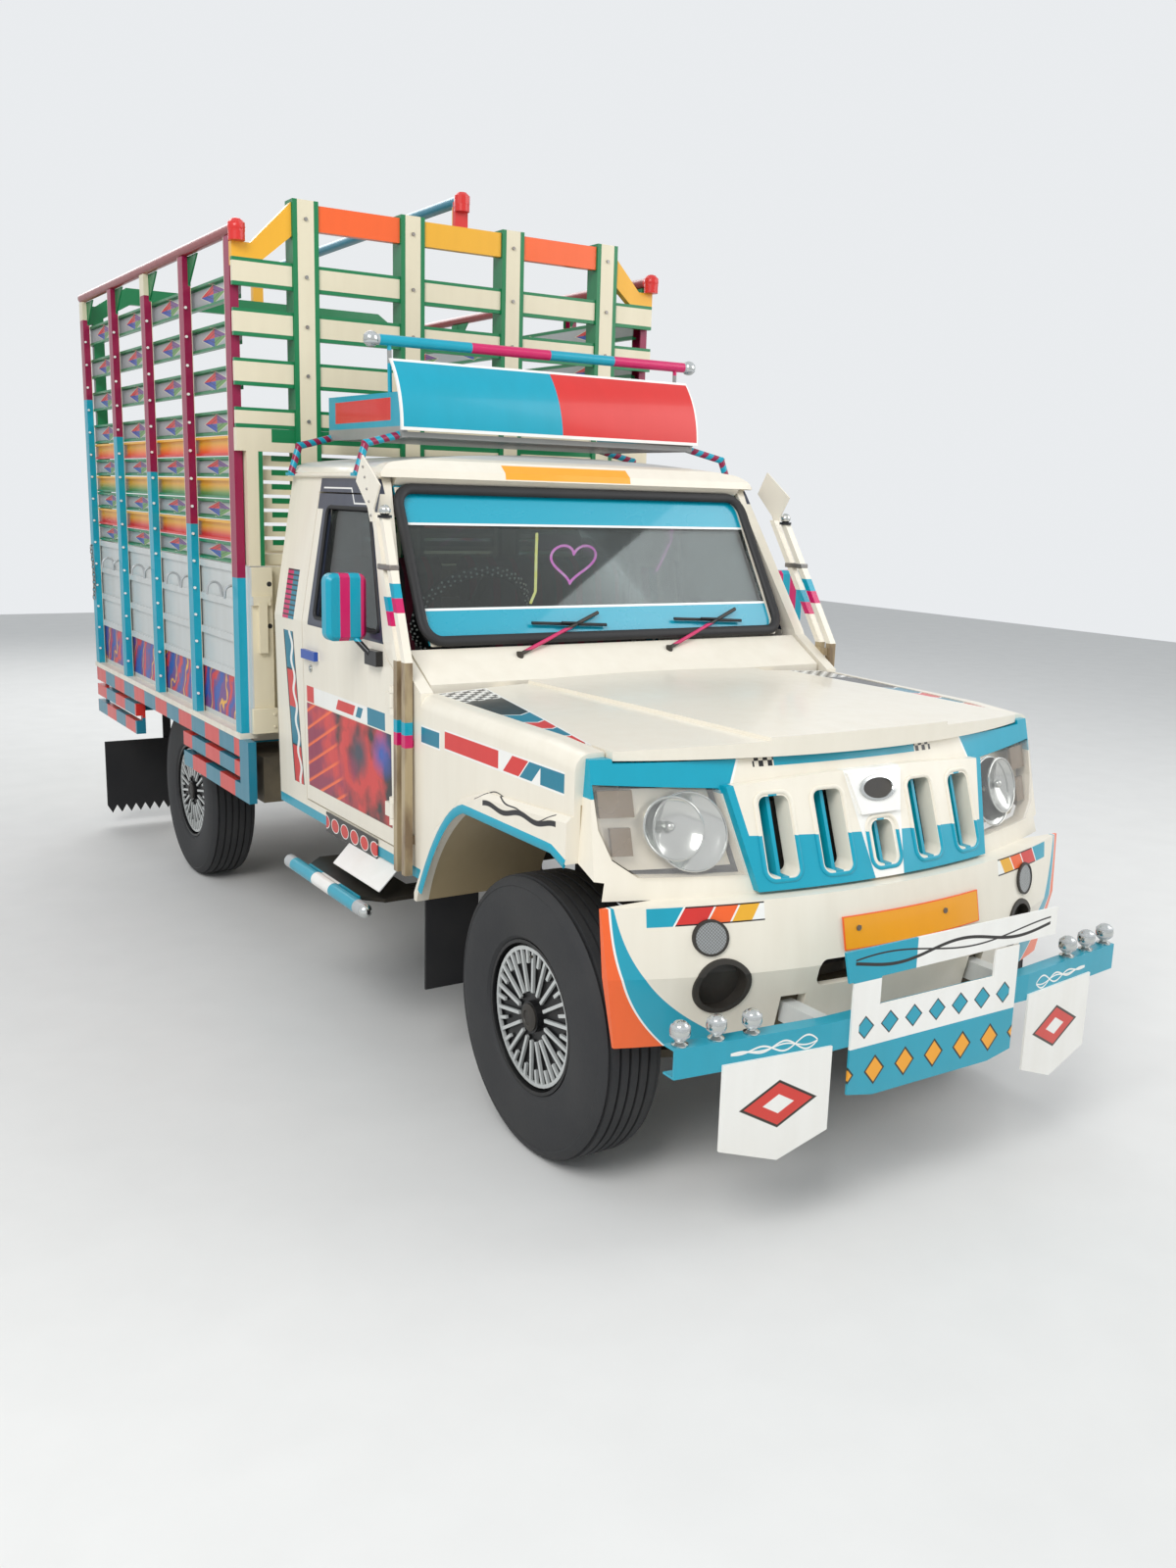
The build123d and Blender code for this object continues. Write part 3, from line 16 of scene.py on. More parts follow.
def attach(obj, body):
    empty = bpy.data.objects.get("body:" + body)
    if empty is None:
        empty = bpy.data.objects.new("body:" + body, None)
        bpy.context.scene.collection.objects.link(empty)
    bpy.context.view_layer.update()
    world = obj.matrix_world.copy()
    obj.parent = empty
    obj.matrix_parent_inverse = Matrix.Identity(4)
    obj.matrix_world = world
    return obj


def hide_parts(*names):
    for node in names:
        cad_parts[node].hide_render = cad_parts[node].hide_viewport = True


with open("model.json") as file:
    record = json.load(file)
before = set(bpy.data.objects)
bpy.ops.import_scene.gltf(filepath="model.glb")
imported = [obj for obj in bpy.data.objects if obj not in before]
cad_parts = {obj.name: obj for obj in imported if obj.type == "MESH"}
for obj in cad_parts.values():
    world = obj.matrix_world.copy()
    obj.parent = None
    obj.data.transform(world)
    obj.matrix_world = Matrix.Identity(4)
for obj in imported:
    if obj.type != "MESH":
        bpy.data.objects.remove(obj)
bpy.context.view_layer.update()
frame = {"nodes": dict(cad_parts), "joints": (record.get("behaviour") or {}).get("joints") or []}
log = logging.getLogger("truck")
Rows = tuple[tuple[float, ...], ...]

AXLE_Y = next(joint["pos_m"][1] for joint in frame["joints"] if joint["name"] == "steer_left")
BODY = "truck"
SIDES = (-1, 1)
SIDE_NAMES = {-1: "right", 1: "left"}
ORIGIN, ACROSS, UP, AHEAD = (Vector(axis) for axis in ((0, 0, 0), (1, 0, 0), (0, 0, 1), (0, -1, 0)))
FLAT, FACING = ORIGIN, Vector((math.pi / 2, 0, 0))  # Euler turns of small parts
WELD = 1e-6  # Points closer than this are one, in metres
CRISP, EDGE, SOFT = 0.0005, 0.0008, 0.002  # Widths over which an edge of paint fades, in metres


def aft(distance: float) -> float:
    """Place along the truck of a distance behind the front axle, in metres."""
    return AXLE_Y + distance


def locate(across: float, distance: float, height: float) -> Vector:
    """Point by its distance behind the front axle."""
    return Vector((across, aft(distance), height))


def blend(table: Sequence[tuple[float, float]], key: float) -> float:
    """Value at a key, straight between the rows of a table sorted by key."""
    for (low, first), (high, last) in zip(table, table[1:]):
        if key <= high:
            break
    return first + (last - first) * (key - low) / (high - low)


def turns(count: int) -> list[float]:
    """Equal turns of a full circle, in radians."""
    return [2 * math.pi * step / count for step in range(count)]


def circle(centre: Vector, axis: Vector, radius: float, count: int,
           first: Vector | None = None) -> list[Vector]:
    """Points of a circle round an axis, from a first direction."""
    first = first or axis.orthogonal().normalized()
    second = axis.cross(first)
    return [centre + (first * math.cos(turn) + second * math.sin(turn)) * radius for turn in turns(count)]


# Colours and shader values


def linear(channel: int) -> float:
    """One 8-bit sRGB channel as a linear number."""
    value = channel / 255
    return value / 12.92 if value <= 0.04045 else ((value + 0.055) / 1.055) ** 2.4


class Hue(Enum):
    """Paints and trims of the truck, as 8-bit sRGB."""

    WHITE = (244, 243, 238)
    CREAM = (238, 231, 215)
    CAGE_CREAM = (228, 218, 190)
    RIB_GREY = (205, 208, 206)
    TEAL = (0, 158, 184)
    DEEP_TEAL = (0, 122, 148)
    MAROON = (146, 12, 66)
    MAGENTA = (204, 22, 98)
    GREEN = (12, 122, 72)
    LEAF = (96, 150, 70)
    ORANGE = (244, 100, 38)
    RED = (214, 46, 42)
    PIPE_RED = (140, 32, 32)
    YELLOW = (238, 176, 44)
    PLATE = (246, 166, 30)
    SKY = (40, 140, 205)
    BLUE = (36, 78, 168)
    VIOLET = (112, 62, 132)
    NAVY = (50, 56, 74)
    INK = (16, 16, 20)
    BLACK = (24, 24, 26)
    TYRE = (34, 35, 38)
    DARK = (40, 40, 42)
    GREY = (120, 118, 112)
    SILVER = (176, 180, 182)
    STEEL = (150, 150, 148)
    RUST = (122, 88, 58)
    SAND = (176, 158, 124)
    BRONZE = (124, 104, 80)
    FABRIC = (84, 74, 82)
    PINK = (255, 90, 225)
    LEMON = (255, 238, 110)
    FLOOR = (226, 225, 222)
    LIGHT = (255, 255, 255)

    @property
    def rgba(self) -> tuple[float, float, float, float]:
        """The colour as linear numbers with full cover."""
        return (*(linear(channel) for channel in self.value), 1.0)


class Value:
    """A number on its way through a material's nodes, with ordinary arithmetic."""

    def __init__(self, painter: "Painter", socket: bpy.types.NodeSocket) -> None:
        """Wraps one output socket of a painter's node."""
        self.painter = painter
        self.socket = socket

    def maths(self, operation: str, *terms: "Value | float", clamp: bool = False) -> Self:
        """Result of one Math node.

        Args:
            operation: The node's operation.
            terms: All its terms, in order.
            clamp: Whether the result is kept between 0 and 1.

        Returns:
            The node's output.
        """
        settings = {"operation": operation, "use_clamp": clamp}
        return Value(self.painter, self.painter.add("Math", settings, dict(enumerate(terms))).outputs[0])

    def __add__(self, other: "Value | float") -> Self:
        """Sum."""
        return self.maths("ADD", self, other)

    __radd__ = __add__

    def __sub__(self, other: "Value | float") -> Self:
        """Difference."""
        return self.maths("SUBTRACT", self, other)

    def __rsub__(self, other: float) -> Self:
        """Difference from a number."""
        return self.maths("SUBTRACT", other, self)

    def __mul__(self, other: "Value | float") -> Self:
        """Product."""
        return self.maths("MULTIPLY", self, other)

    __rmul__ = __mul__

    def __truediv__(self, other: "Value | float") -> Self:
        """Quotient."""
        return self.maths("DIVIDE", self, other)

    def __mod__(self, other: float) -> Self:
        """Remainder that is never negative."""
        return self.maths("FLOORED_MODULO", self, other)

    def __abs__(self) -> Self:
        """Size without sign."""
        return self.maths("ABSOLUTE", self)

    def __and__(self, other: "Value") -> Self:
        """Where both masks cover."""
        return self.maths("MULTIPLY", self, other)

    def __or__(self, other: "Value") -> Self:
        """Where either mask covers."""
        return self.maths("MAXIMUM", self, other)

    def __invert__(self) -> Self:
        """Where the mask doesn't cover."""
        return self.maths("SUBTRACT", 1.0, self)

    def root(self) -> Self:
        """Square root."""
        return self.maths("SQRT", self)

    def sine(self) -> Self:
        """Sine of the value in radians."""
        return self.maths("SINE", self)

    def least(self, floor: float) -> Self:
        """The value, or a floor under it."""
        return self.maths("MAXIMUM", self, floor)

    def fold(self, pitch: float) -> Self:
        """Distance from the nearest multiple of a pitch."""
        return abs((self + pitch / 2) % pitch - pitch / 2)

    def bars(self, mask: "Value", *rows: "tuple[float, float, Hue]") -> "list[Zone]":
        """Zones of one mask between pairs of edges, each in its hue."""
        return [(mask & self.within(low, high), hue) for low, high, hue in rows]

    def above(self, edge: float, soft: float = EDGE) -> Self:
        """Mask that covers where the value is above an edge."""
        return self.maths("MULTIPLY_ADD", self, 1 / soft, 0.5 - edge / soft, clamp=True)

    def below(self, edge: float, soft: float = EDGE) -> Self:
        """Mask that covers where the value is below an edge."""
        return self.maths("MULTIPLY_ADD", self, -1 / soft, 0.5 + edge / soft, clamp=True)

    def within(self, low: float, high: float, soft: float = EDGE) -> Self:
        """Mask that covers between two edges."""
        half = (high - low) / 2
        return abs(self - (low + high) / 2).below(half, soft)


def chequer(across: Value, along: Value, wide: float, high: float) -> Value:
    """Mask of every second field of a chequerboard."""
    return (((across % wide).below(wide / 2) + (along % high).below(high / 2)) % 2.0).above(0.5, 0.1)


@dataclass(frozen=True)
class Place:
    """Where a point of the surface is, in metres."""

    painter: "Painter"
    x: Value
    z: Value
    aft: Value
    side: Value

    def near(self, along: Value, up: Value, centre: tuple[float, float]) -> Value:
        """Distance of two coordinates from a centre."""
        first, second = along - centre[0], up - centre[1]
        return (first * first + second * second).root()


class Painter:
    """Writes the nodes of one material or sky."""

    def __init__(self, name: str, sky: bool = False) -> None:
        """Starts an empty material, or a sky, of that name."""
        self.owner = (bpy.data.worlds if sky else bpy.data.materials).new(name)
        self.owner.use_nodes = True
        self.tree = self.owner.node_tree
        self.tree.nodes.clear()

    def add(self, kind: str, settings: dict | None = None, inputs: dict | None = None) -> bpy.types.Node:
        """One shader node.

        Args:
            kind: The node's type without its prefix.
            settings: Its own settings, set first.
            inputs: Numbers, hues, values or sockets by the name or number of its inputs.

        Returns:
            The node.
        """
        node = self.tree.nodes.new("ShaderNode" + kind)
        for key, setting in (settings or {}).items():
            setattr(node, key, setting)
        for key, item in (inputs or {}).items():
            socket = node.inputs[key]
            if isinstance(item, Value):
                self.tree.links.new(item.socket, socket)
            elif isinstance(item, bpy.types.NodeSocket):
                self.tree.links.new(item, socket)
            else:
                socket.default_value = item.rgba if isinstance(item, Hue) else item
        return node

    def place(self) -> Place:
        """Coordinates of the surface in the truck's own frame."""
        point = self.add("TexCoord").outputs["Object"]
        parts = self.add("SeparateXYZ", None, {0: point})
        x, y, z = (Value(self, parts.outputs[index]) for index in range(3))
        return Place(self, x, z, y - AXLE_Y, abs(x))

    def noise(self, scale: float, detail: float = 3.0,
              stretch: tuple[float, float, float] = (1, 1, 1)) -> Value:
        """Smooth noise from 0 to 1 over the object's own coordinates.

        Args:
            scale: Features per metre.
            detail: Octaves.
            stretch: How much faster it changes along each axis.

        Returns:
            The noise.
        """
        point = self.add("TexCoord").outputs["Object"]
        scaled = self.add("VectorMath", {"operation": "MULTIPLY"}, {0: point, 1: stretch})
        node = self.add("TexNoise", None, {"Vector": scaled.outputs[0], "Scale": scale, "Detail": detail})
        return Value(self, node.outputs["Fac"])

    def mix(self, ground: object, cover: object, mask: "Value | float",
            blend: str = "MIX") -> bpy.types.NodeSocket:
        """One colour laid over another through a mask."""
        node = self.add("Mix", {"data_type": "RGBA", "blend_type": blend}, {0: mask, 6: ground, 7: cover})
        return node.outputs[2]

    def cover(self, ground: object, zones: "list[Zone]") -> object:
        """A colour with the zones of a design over it."""
        for mask, hue in zones:
            ground = self.mix(ground, hue, mask)
        return ground

    def shader(self, kind: str, inputs: dict) -> bpy.types.NodeSocket:
        """Output of one shader."""
        return self.add(kind, None, inputs).outputs[0]

    def relief(self, height: Value, depth: float, strength: float = 1.0) -> bpy.types.NodeSocket:
        """Normal of a surface raised by a height of 0 to 1 times a depth in metres."""
        node = self.add("Bump", None, {"Strength": strength, "Distance": depth, "Height": height})
        return node.outputs["Normal"]

    def close(self, surface: bpy.types.NodeSocket,
              end: str = "OutputMaterial") -> bpy.types.Material | bpy.types.World:
        """Ends the material or sky with its surface."""
        self.add(end, None, {"Surface": surface})
        return self.owner


Zone = tuple[Value, Hue]
Design = Callable[[Place], list[Zone]]


def plain(_: Place) -> list[Zone]:
    """A design with no second colour."""
    return []


@dataclass(frozen=True)
class Enamel:
    """Glossy paint with dust, streaks and a faint unevenness, in the colours of a design."""

    name: str
    base: Hue
    design: Design = plain
    roughness: float = 0.34
    coat: float = 0.25
    grime: float = 0.13
    metallic: float = 0.0
    ripple: float = 0.0004
    specular: float = 0.36
    coat_roughness: float = 0.12

    def build(self) -> bpy.types.Material:
        """The finished material."""
        painter = Painter(self.name)
        at = painter.place()
        colour = painter.cover(self.base, self.design(at))
        cloud = painter.noise(2.2, 4.0)
        streak = painter.noise(9.0, 3.0, (2.2, 2.2, 0.25))
        fade = (cloud * 0.5 + streak * 0.5).above(0.56, 0.35) * self.grime
        colour = painter.mix(colour, Hue.SAND, fade, "MULTIPLY")
        dust = at.z.below(0.55, 0.6) * (cloud + 0.25) * (self.grime * 0.8)
        colour = painter.mix(colour, Hue.SAND, dust)
        ripple = painter.noise(14.0, 2.0) * 0.7 + painter.noise(160.0, 2.0) * 0.3
        shader = painter.shader("BsdfPrincipled", {
            "Base Color": colour,
            "Roughness": streak * 0.16 + (self.roughness - 0.08),
            "Metallic": self.metallic,
            "Specular IOR Level": self.specular,
            "Coat Weight": self.coat,
            "Coat Roughness": self.coat_roughness,
            "Normal": painter.relief(ripple, self.ripple),
        })
        return painter.close(shader)


@dataclass(frozen=True)
class Moulded:
    """Rubber, plastic or cast metal with a fine grain."""

    name: str
    base: Hue
    dusty: Hue = Hue.SAND
    design: Design = plain
    roughness: float = 0.6
    metallic: float = 0.0
    grain: float = 260.0
    depth: float = 0.0004
    dust: float = 0.2

    def build(self) -> bpy.types.Material:
        """The finished material."""
        painter = Painter(self.name)
        at = painter.place()
        colour = painter.cover(self.base, self.design(at))
        cloud = painter.noise(5.0, 4.0)
        colour = painter.mix(colour, self.dusty, cloud.above(0.5, 0.5) * self.dust)
        shader = painter.shader("BsdfPrincipled", {
            "Base Color": colour,
            "Roughness": cloud * 0.24 + (self.roughness - 0.12),
            "Metallic": self.metallic,
            "Normal": painter.relief(painter.noise(self.grain, 2.0), self.depth, 0.6),
        })
        return painter.close(shader)


@dataclass(frozen=True)
class Weave:
    """Woven seat cloth with a check of fine threads and a broad stripe."""

    name: str
    base: Hue
    stripe: Hue
    thread: float = 0.0024

    def build(self) -> bpy.types.Material:
        """The finished material."""
        painter = Painter(self.name)
        at = painter.place()
        warp = abs((at.x % self.thread) / self.thread - 0.5) * 2.0
        weft = abs(((at.aft + at.z) % self.thread) / self.thread - 0.5) * 2.0
        cloth = painter.mix(self.base, self.stripe, (at.x % 0.09).within(0.0, 0.028, SOFT))
        cloth = painter.mix(cloth, Hue.BLACK, (warp & weft) * 0.35)
        cloth = painter.mix(cloth, Hue.SAND, painter.noise(7.0).above(0.5, 0.4) * 0.18)
        shader = painter.shader("BsdfPrincipled", {
            "Base Color": cloth,
            "Roughness": 0.92,
            "Sheen Weight": 0.3,
            "Normal": painter.relief(warp * 0.5 + weft * 0.5, 0.0005, 0.7),
        })
        return painter.close(shader)


@dataclass(frozen=True)
class Pane:
    """Clear glass with a faint tint, dust, and painted or filmed bands where a design covers it."""

    name: str
    tint: tuple[float, float, float, float] = (0.62, 0.68, 0.68, 1.0)
    haze: float = 0.10
    design: Design = plain

    def build(self) -> bpy.types.Material:
        """The finished material."""
        painter = Painter(self.name)
        at = painter.place()
        smear = painter.noise(6.0, 4.0, (1, 1, 2))
        clear = painter.shader("BsdfTransparent", {"Color": self.tint})
        gloss = painter.shader("BsdfGlossy", {"Roughness": 0.03})
        dull = painter.shader("BsdfDiffuse", {"Color": Hue.GREY})
        shine = Value(painter, painter.shader("Fresnel", {"IOR": 1.5}))
        surface = painter.shader("MixShader", {0: shine * 0.85, 1: clear, 2: gloss})
        dusty = smear * (self.haze * 0.8) + self.haze * 0.5
        surface = painter.shader("MixShader", {0: dusty, 1: surface, 2: dull})
        zones = self.design(at)
        if zones:
            cover, first = zones[0]
            for mask, _ in zones[1:]:
                cover = cover | mask
            film = painter.shader("BsdfPrincipled", {
                "Base Color": painter.cover(first, zones[1:]), "Roughness": smear * 0.1 + 0.22,
                "Coat Weight": 0.5})
            surface = painter.shader("MixShader", {0: cover, 1: surface, 2: film})
        return painter.close(surface)


@dataclass(frozen=True)
class Lens:
    """Clear or coloured lamp lens whose ribs catch the light, over a bright bowl."""

    name: str
    tint: tuple[float, float, float, float]
    clear: float = 0.75

    def build(self) -> bpy.types.Material:
        """The finished material."""
        painter = Painter(self.name)
        smear = painter.noise(11.0, 3.0)
        glass = painter.shader("BsdfTransparent", {"Color": self.tint})
        gloss = painter.shader("BsdfPrincipled", {
            "Base Color": self.tint, "Roughness": smear * 0.12 + 0.05, "Coat Weight": 0.6})
        mixed = painter.shader("MixShader", {0: smear * 0.16 + (0.92 - self.clear), 1: glass, 2: gloss})
        return painter.close(mixed)


@dataclass(frozen=True)
class Glow:
    """Tube that gives its own light, a little uneven along its length."""

    name: str
    hue: Hue
    strength: float = 1.6

    def build(self) -> bpy.types.Material:
        """The finished material."""
        painter = Painter(self.name)
        colour = painter.mix(self.hue, Hue.LIGHT, painter.noise(30.0).above(0.5, 0.3) * 0.35)
        shader = painter.shader("BsdfPrincipled", {
            "Base Color": colour, "Roughness": 0.4, "Emission Color": colour,
            "Emission Strength": self.strength})
        return painter.close(shader)


Finish = Enamel | Moulded | Weave | Pane | Lens | Glow
_built: dict[str, bpy.types.Material] = {}


def material_of(finish: Finish) -> bpy.types.Material:
    """The finish's material, built once."""
    if finish.name not in _built:
        _built[finish.name] = finish.build()
    return _built[finish.name]


# Finishes that many pieces share
CHASSIS = Moulded("chassis_black", Hue.BLACK, dust=0.35, roughness=0.7)
CASTING = Moulded("cast_iron", Hue.DARK, dusty=Hue.RUST, dust=0.3, roughness=0.75, grain=120.0)
RUBBER = Moulded("rubber_seal", Hue.INK, dusty=Hue.GREY, dust=0.08, roughness=0.58)
FLAP = Moulded("flap_rubber", Hue.INK, dusty=Hue.GREY, dust=0.06, roughness=0.75)
PLASTIC = Moulded("black_plastic", Hue.BLACK, dust=0.1, roughness=0.5)
TRIM = Moulded("cab_trim", Hue.GREY, dusty=Hue.SAND, dust=0.2, roughness=0.65)
CHROME = Moulded("polished_steel", Hue.RIB_GREY, dusty=Hue.GREY, roughness=0.19, metallic=1.0, grain=40.0,
                 depth=0.00003, dust=0.2)
ZINC = Moulded("bare_steel", Hue.STEEL, dusty=Hue.RUST, roughness=0.42, metallic=0.9, dust=0.4)
TYRE = Moulded("tyre_rubber", Hue.TYRE, dusty=Hue.GREY, roughness=0.74, dust=0.12, grain=90.0, depth=0.0008)


# Making and fitting pieces


class Shape:
    """Gathers closed solids into one mesh."""

    def __init__(self) -> None:
        """Starts with nothing."""
        self.mesh = bmesh.new()

    def shell(self, rings: Sequence[Sequence[Vector]], closed: bool = False) -> None:
        """Skin through rings of equally many points.

        Args:
            rings: Closed rings in order.
            closed: Whether the last ring joins the first, instead of both being capped.
        """
        rows = [[self.mesh.verts.new(point) for point in ring] for ring in rings]
        pairs = list(zip(rows, rows[1:])) + ([(rows[-1], rows[0])] if closed else [])
        for near, far in pairs:
            for index in range(len(near)):
                after = (index + 1) % len(near)
                self.mesh.faces.new((near[index], near[after], far[after], far[index]))
        if not closed:
            self.mesh.faces.new(rows[0][::-1])
            self.mesh.faces.new(rows[-1])

    def prism(self, outline: Sequence[Vector], push: Vector) -> None:
        """Outline pushed along a vector."""
        self.shell([outline, [point + push for point in outline]])

    def box(self, low: Vector, high: Vector) -> None:
        """Block between two corners."""
        (x0, y0, z0), (x1, y1, z1) = low, high
        self.prism([Vector((x, y, z0)) for x, y in ((x0, y0), (x1, y0), (x1, y1), (x0, y1))],
                   UP * (z1 - z0))

    def lathe(self, profile: Sequence[tuple[float, float]], centre: Vector, axis: Vector,
              count: int = 48) -> None:
        """Closed profile of (along, radius) points turned about an axis."""
        self.shell([[centre + axis * along + out * radius for along, radius in profile]
                    for out in circle(ORIGIN, axis, 1.0, count)], closed=True)

    def slab(self, face: Sequence[Sequence[Vector]], back: Sequence[Sequence[Vector]]) -> None:
        """Plate between two grids of equally many points."""
        front, rear = ([[self.mesh.verts.new(point) for point in row] for row in grid]
                       for grid in (face, back))
        rows, columns = len(front), len(front[0])
        for grid in (front, rear):
            for i in range(rows - 1):
                for j in range(columns - 1):
                    self.mesh.faces.new((grid[i][j], grid[i][j + 1], grid[i + 1][j + 1], grid[i + 1][j]))
        edge = ([(0, j) for j in range(columns)] + [(i, columns - 1) for i in range(1, rows)]
                + [(rows - 1, j) for j in range(columns - 2, -1, -1)]
                + [(i, 0) for i in range(rows - 2, 0, -1)])
        for (i, j), (k, m) in zip(edge, edge[1:] + edge[:1]):
            self.mesh.faces.new((front[i][j], front[k][m], rear[k][m], rear[i][j]))

    def ball(self, centre: Vector, radius: float, count: int = 20) -> None:
        """Sphere."""
        bmesh.ops.create_uvsphere(self.mesh, u_segments=count, v_segments=count // 2, radius=radius,
                                  matrix=Matrix.Translation(centre))

    def disc(self, centre: Vector, axis: Vector, radius: float, depth: float, count: int = 32) -> None:
        """Short cylinder that starts at a centre."""
        self.prism(circle(centre, axis, radius, count), axis * depth)

    def tube(self, path: Sequence[Vector], radius: float, closed: bool = False, sides: int = 10,
             flat: float = 1.0, up: Vector = UP) -> None:
        """Round or flattened tube along a path.

        Args:
            path: Points along its middle.
            radius: Half its width.
            closed: Whether its end joins its start.
            sides: Points round it.
            flat: Its thickness along up, as a share of its width.
            up: Direction that its section is set by.
        """
        rings = []
        for index, point in enumerate(path):
            before = path[index - 1] if index or closed else point
            after = path[(index + 1) % len(path)] if index + 1 < len(path) or closed else point
            run = (after - before).normalized()
            side = run.cross(up).normalized()
            over = side.cross(run).normalized()
            rings.append([point + side * radius * math.cos(turn) + over * radius * flat * math.sin(turn)
                          for turn in turns(sides)])
        self.shell(rings, closed=closed)

    def data(self, name: str) -> bpy.types.Mesh:
        """The finished mesh; the shape ends here."""
        bmesh.ops.remove_doubles(self.mesh, verts=self.mesh.verts, dist=WELD)
        bmesh.ops.recalc_face_normals(self.mesh, faces=self.mesh.faces)
        data = bpy.data.meshes.new(name)
        self.mesh.to_mesh(data)
        self.mesh.free()
        return data

    def settle(self, name: str, finish: Finish, slot: str = "", body: str = BODY, bevel: float = 0.0,
               angle: float = 35.0) -> bpy.types.Object:
        """Makes the shape a piece; the arguments are those of the function settle."""
        return settle(name, self.data(name), finish, body, bevel, angle)


def bolt_head(radius: float, height: float, sides: int = 6) -> Shape:
    """Small head that stands on the origin."""
    head = Shape()
    head.disc(ORIGIN, UP, radius, height, sides)
    return head


def put(name: str, data: bpy.types.ID) -> bpy.types.Object:
    """Object of some data, put in the scene."""
    thing = bpy.data.objects.new(name, data)
    bpy.context.scene.collection.objects.link(thing)
    return thing


def settle(name: str, data: bpy.types.Mesh, finish: Finish, body: str = BODY, bevel: float = 0.0,
           angle: float = 35.0, subdivide: int = 0) -> bpy.types.Object:
    """Makes a piece of a mesh, gives it its finish and lets it ride on its body.

    Args:
        name: The piece's name.
        data: Its mesh.
        finish: Its finish.
        body: The body that carries it.
        bevel: Width of its rounded edges in metres.
        angle: Edges sharper than this stay sharp, in degrees.
        subdivide: Levels of subdivision.

    Returns:
        The piece.
    """
    for polygon in data.polygons:
        polygon.use_smooth = True
    data.set_sharp_from_angle(angle=math.radians(angle))
    piece = put(name, data)
    data.materials.clear()
    data.materials.append(material_of(finish))
    if bevel:
        edge = piece.modifiers.new("soft_edges", "BEVEL")
        edge.width, edge.segments, edge.limit_method = bevel, 2, "ANGLE"
        edge.harden_normals = False
    if subdivide:
        smooth = piece.modifiers.new("smooth", "SUBSURF")
        smooth.levels = smooth.render_levels = subdivide
    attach(piece, body)
    log.info("piece %s on %s", name, body)
    return piece


def dress(finish: Finish, *nodes: str) -> None:
    """Gives CAD nodes a finish."""
    for node in nodes:
        for slot in frame["nodes"][node].material_slots:
            slot.material = material_of(finish)
        log.info("finish %s on %s", finish.name, node)


class Setting:
    """Geometry Nodes tree that sets one small part at every point of a carrier mesh."""

    def __init__(self) -> None:
        """Builds the tree with its named inputs."""
        self.tree = bpy.data.node_groups.new("set_parts", "GeometryNodeTree")
        face = self.tree.interface
        self.inputs = {
            name: face.new_socket(name, in_out="INPUT", socket_type="NodeSocket" + kind).identifier
            for name, kind in (
                ("Geometry", "Geometry"), ("Part", "Object"), ("Size", "Float"), ("Finish", "Material"))}
        face.new_socket("Geometry", in_out="OUTPUT", socket_type="NodeSocketGeometry")
        start, info, turn, euler, spread, real, coat, end = (self.tree.nodes.new(kind) for kind in (
            "NodeGroupInput", "GeometryNodeObjectInfo", "GeometryNodeInputNamedAttribute",
            "FunctionNodeEulerToRotation", "GeometryNodeInstanceOnPoints", "GeometryNodeRealizeInstances",
            "GeometryNodeSetMaterial", "NodeGroupOutput"))
        turn.data_type = "FLOAT_VECTOR"
        turn.inputs["Name"].default_value = "turn"
        for source, output, target, entry in (
                (start, "Part", info, "Object"), (start, "Geometry", spread, "Points"),
                (info, "Geometry", spread, "Instance"), (turn, "Attribute", euler, 0),
                (euler, 0, spread, "Rotation"),
                (start, "Size", spread, "Scale"), (spread, 0, real, 0), (real, 0, coat, "Geometry"),
                (start, "Finish", coat, "Material"), (coat, 0, end, 0)):
            self.tree.links.new(source.outputs[output], target.inputs[entry])

    def spread(self, name: str, part: Shape, spots: Sequence[tuple[Vector, Vector]], finish: Finish,
               slot: str = "", body: str = BODY, size: float = 1.0) -> bpy.types.Object:
        """Sets a part at each spot and settles the result as one piece.

        Args:
            name: The piece's name.
            part: The small part, made at the origin.
            spots: Place and Euler turn of each one.
            finish: Its finish.
            slot: Not used.
            body: The body that carries it.
            size: Its scale.

        Returns:
            The piece.
        """
        one = put(name + "_part", part.data(name + "_part"))
        points = bpy.data.meshes.new(name + "_points")
        points.from_pydata([spot for spot, _ in spots], [], [])
        turn = points.attributes.new("turn", "FLOAT_VECTOR", "POINT")
        for index, (_, angles) in enumerate(spots):
            turn.data[index].vector = angles
        carrier = put(name + "_points", points)
        modifier = carrier.modifiers.new("set_parts", "NODES")
        modifier.node_group = self.tree
        for key, item in (("Part", one), ("Size", size), ("Finish", material_of(finish))):
            modifier[self.inputs[key]] = item
        bpy.context.view_layer.update()
        evaluated = carrier.evaluated_get(bpy.context.evaluated_depsgraph_get())
        data = bpy.data.meshes.new_from_object(evaluated)
        carrier.modifiers.clear()
        bpy.data.objects.remove(carrier)
        bpy.data.objects.remove(one)
        return settle(name, data, finish, body)


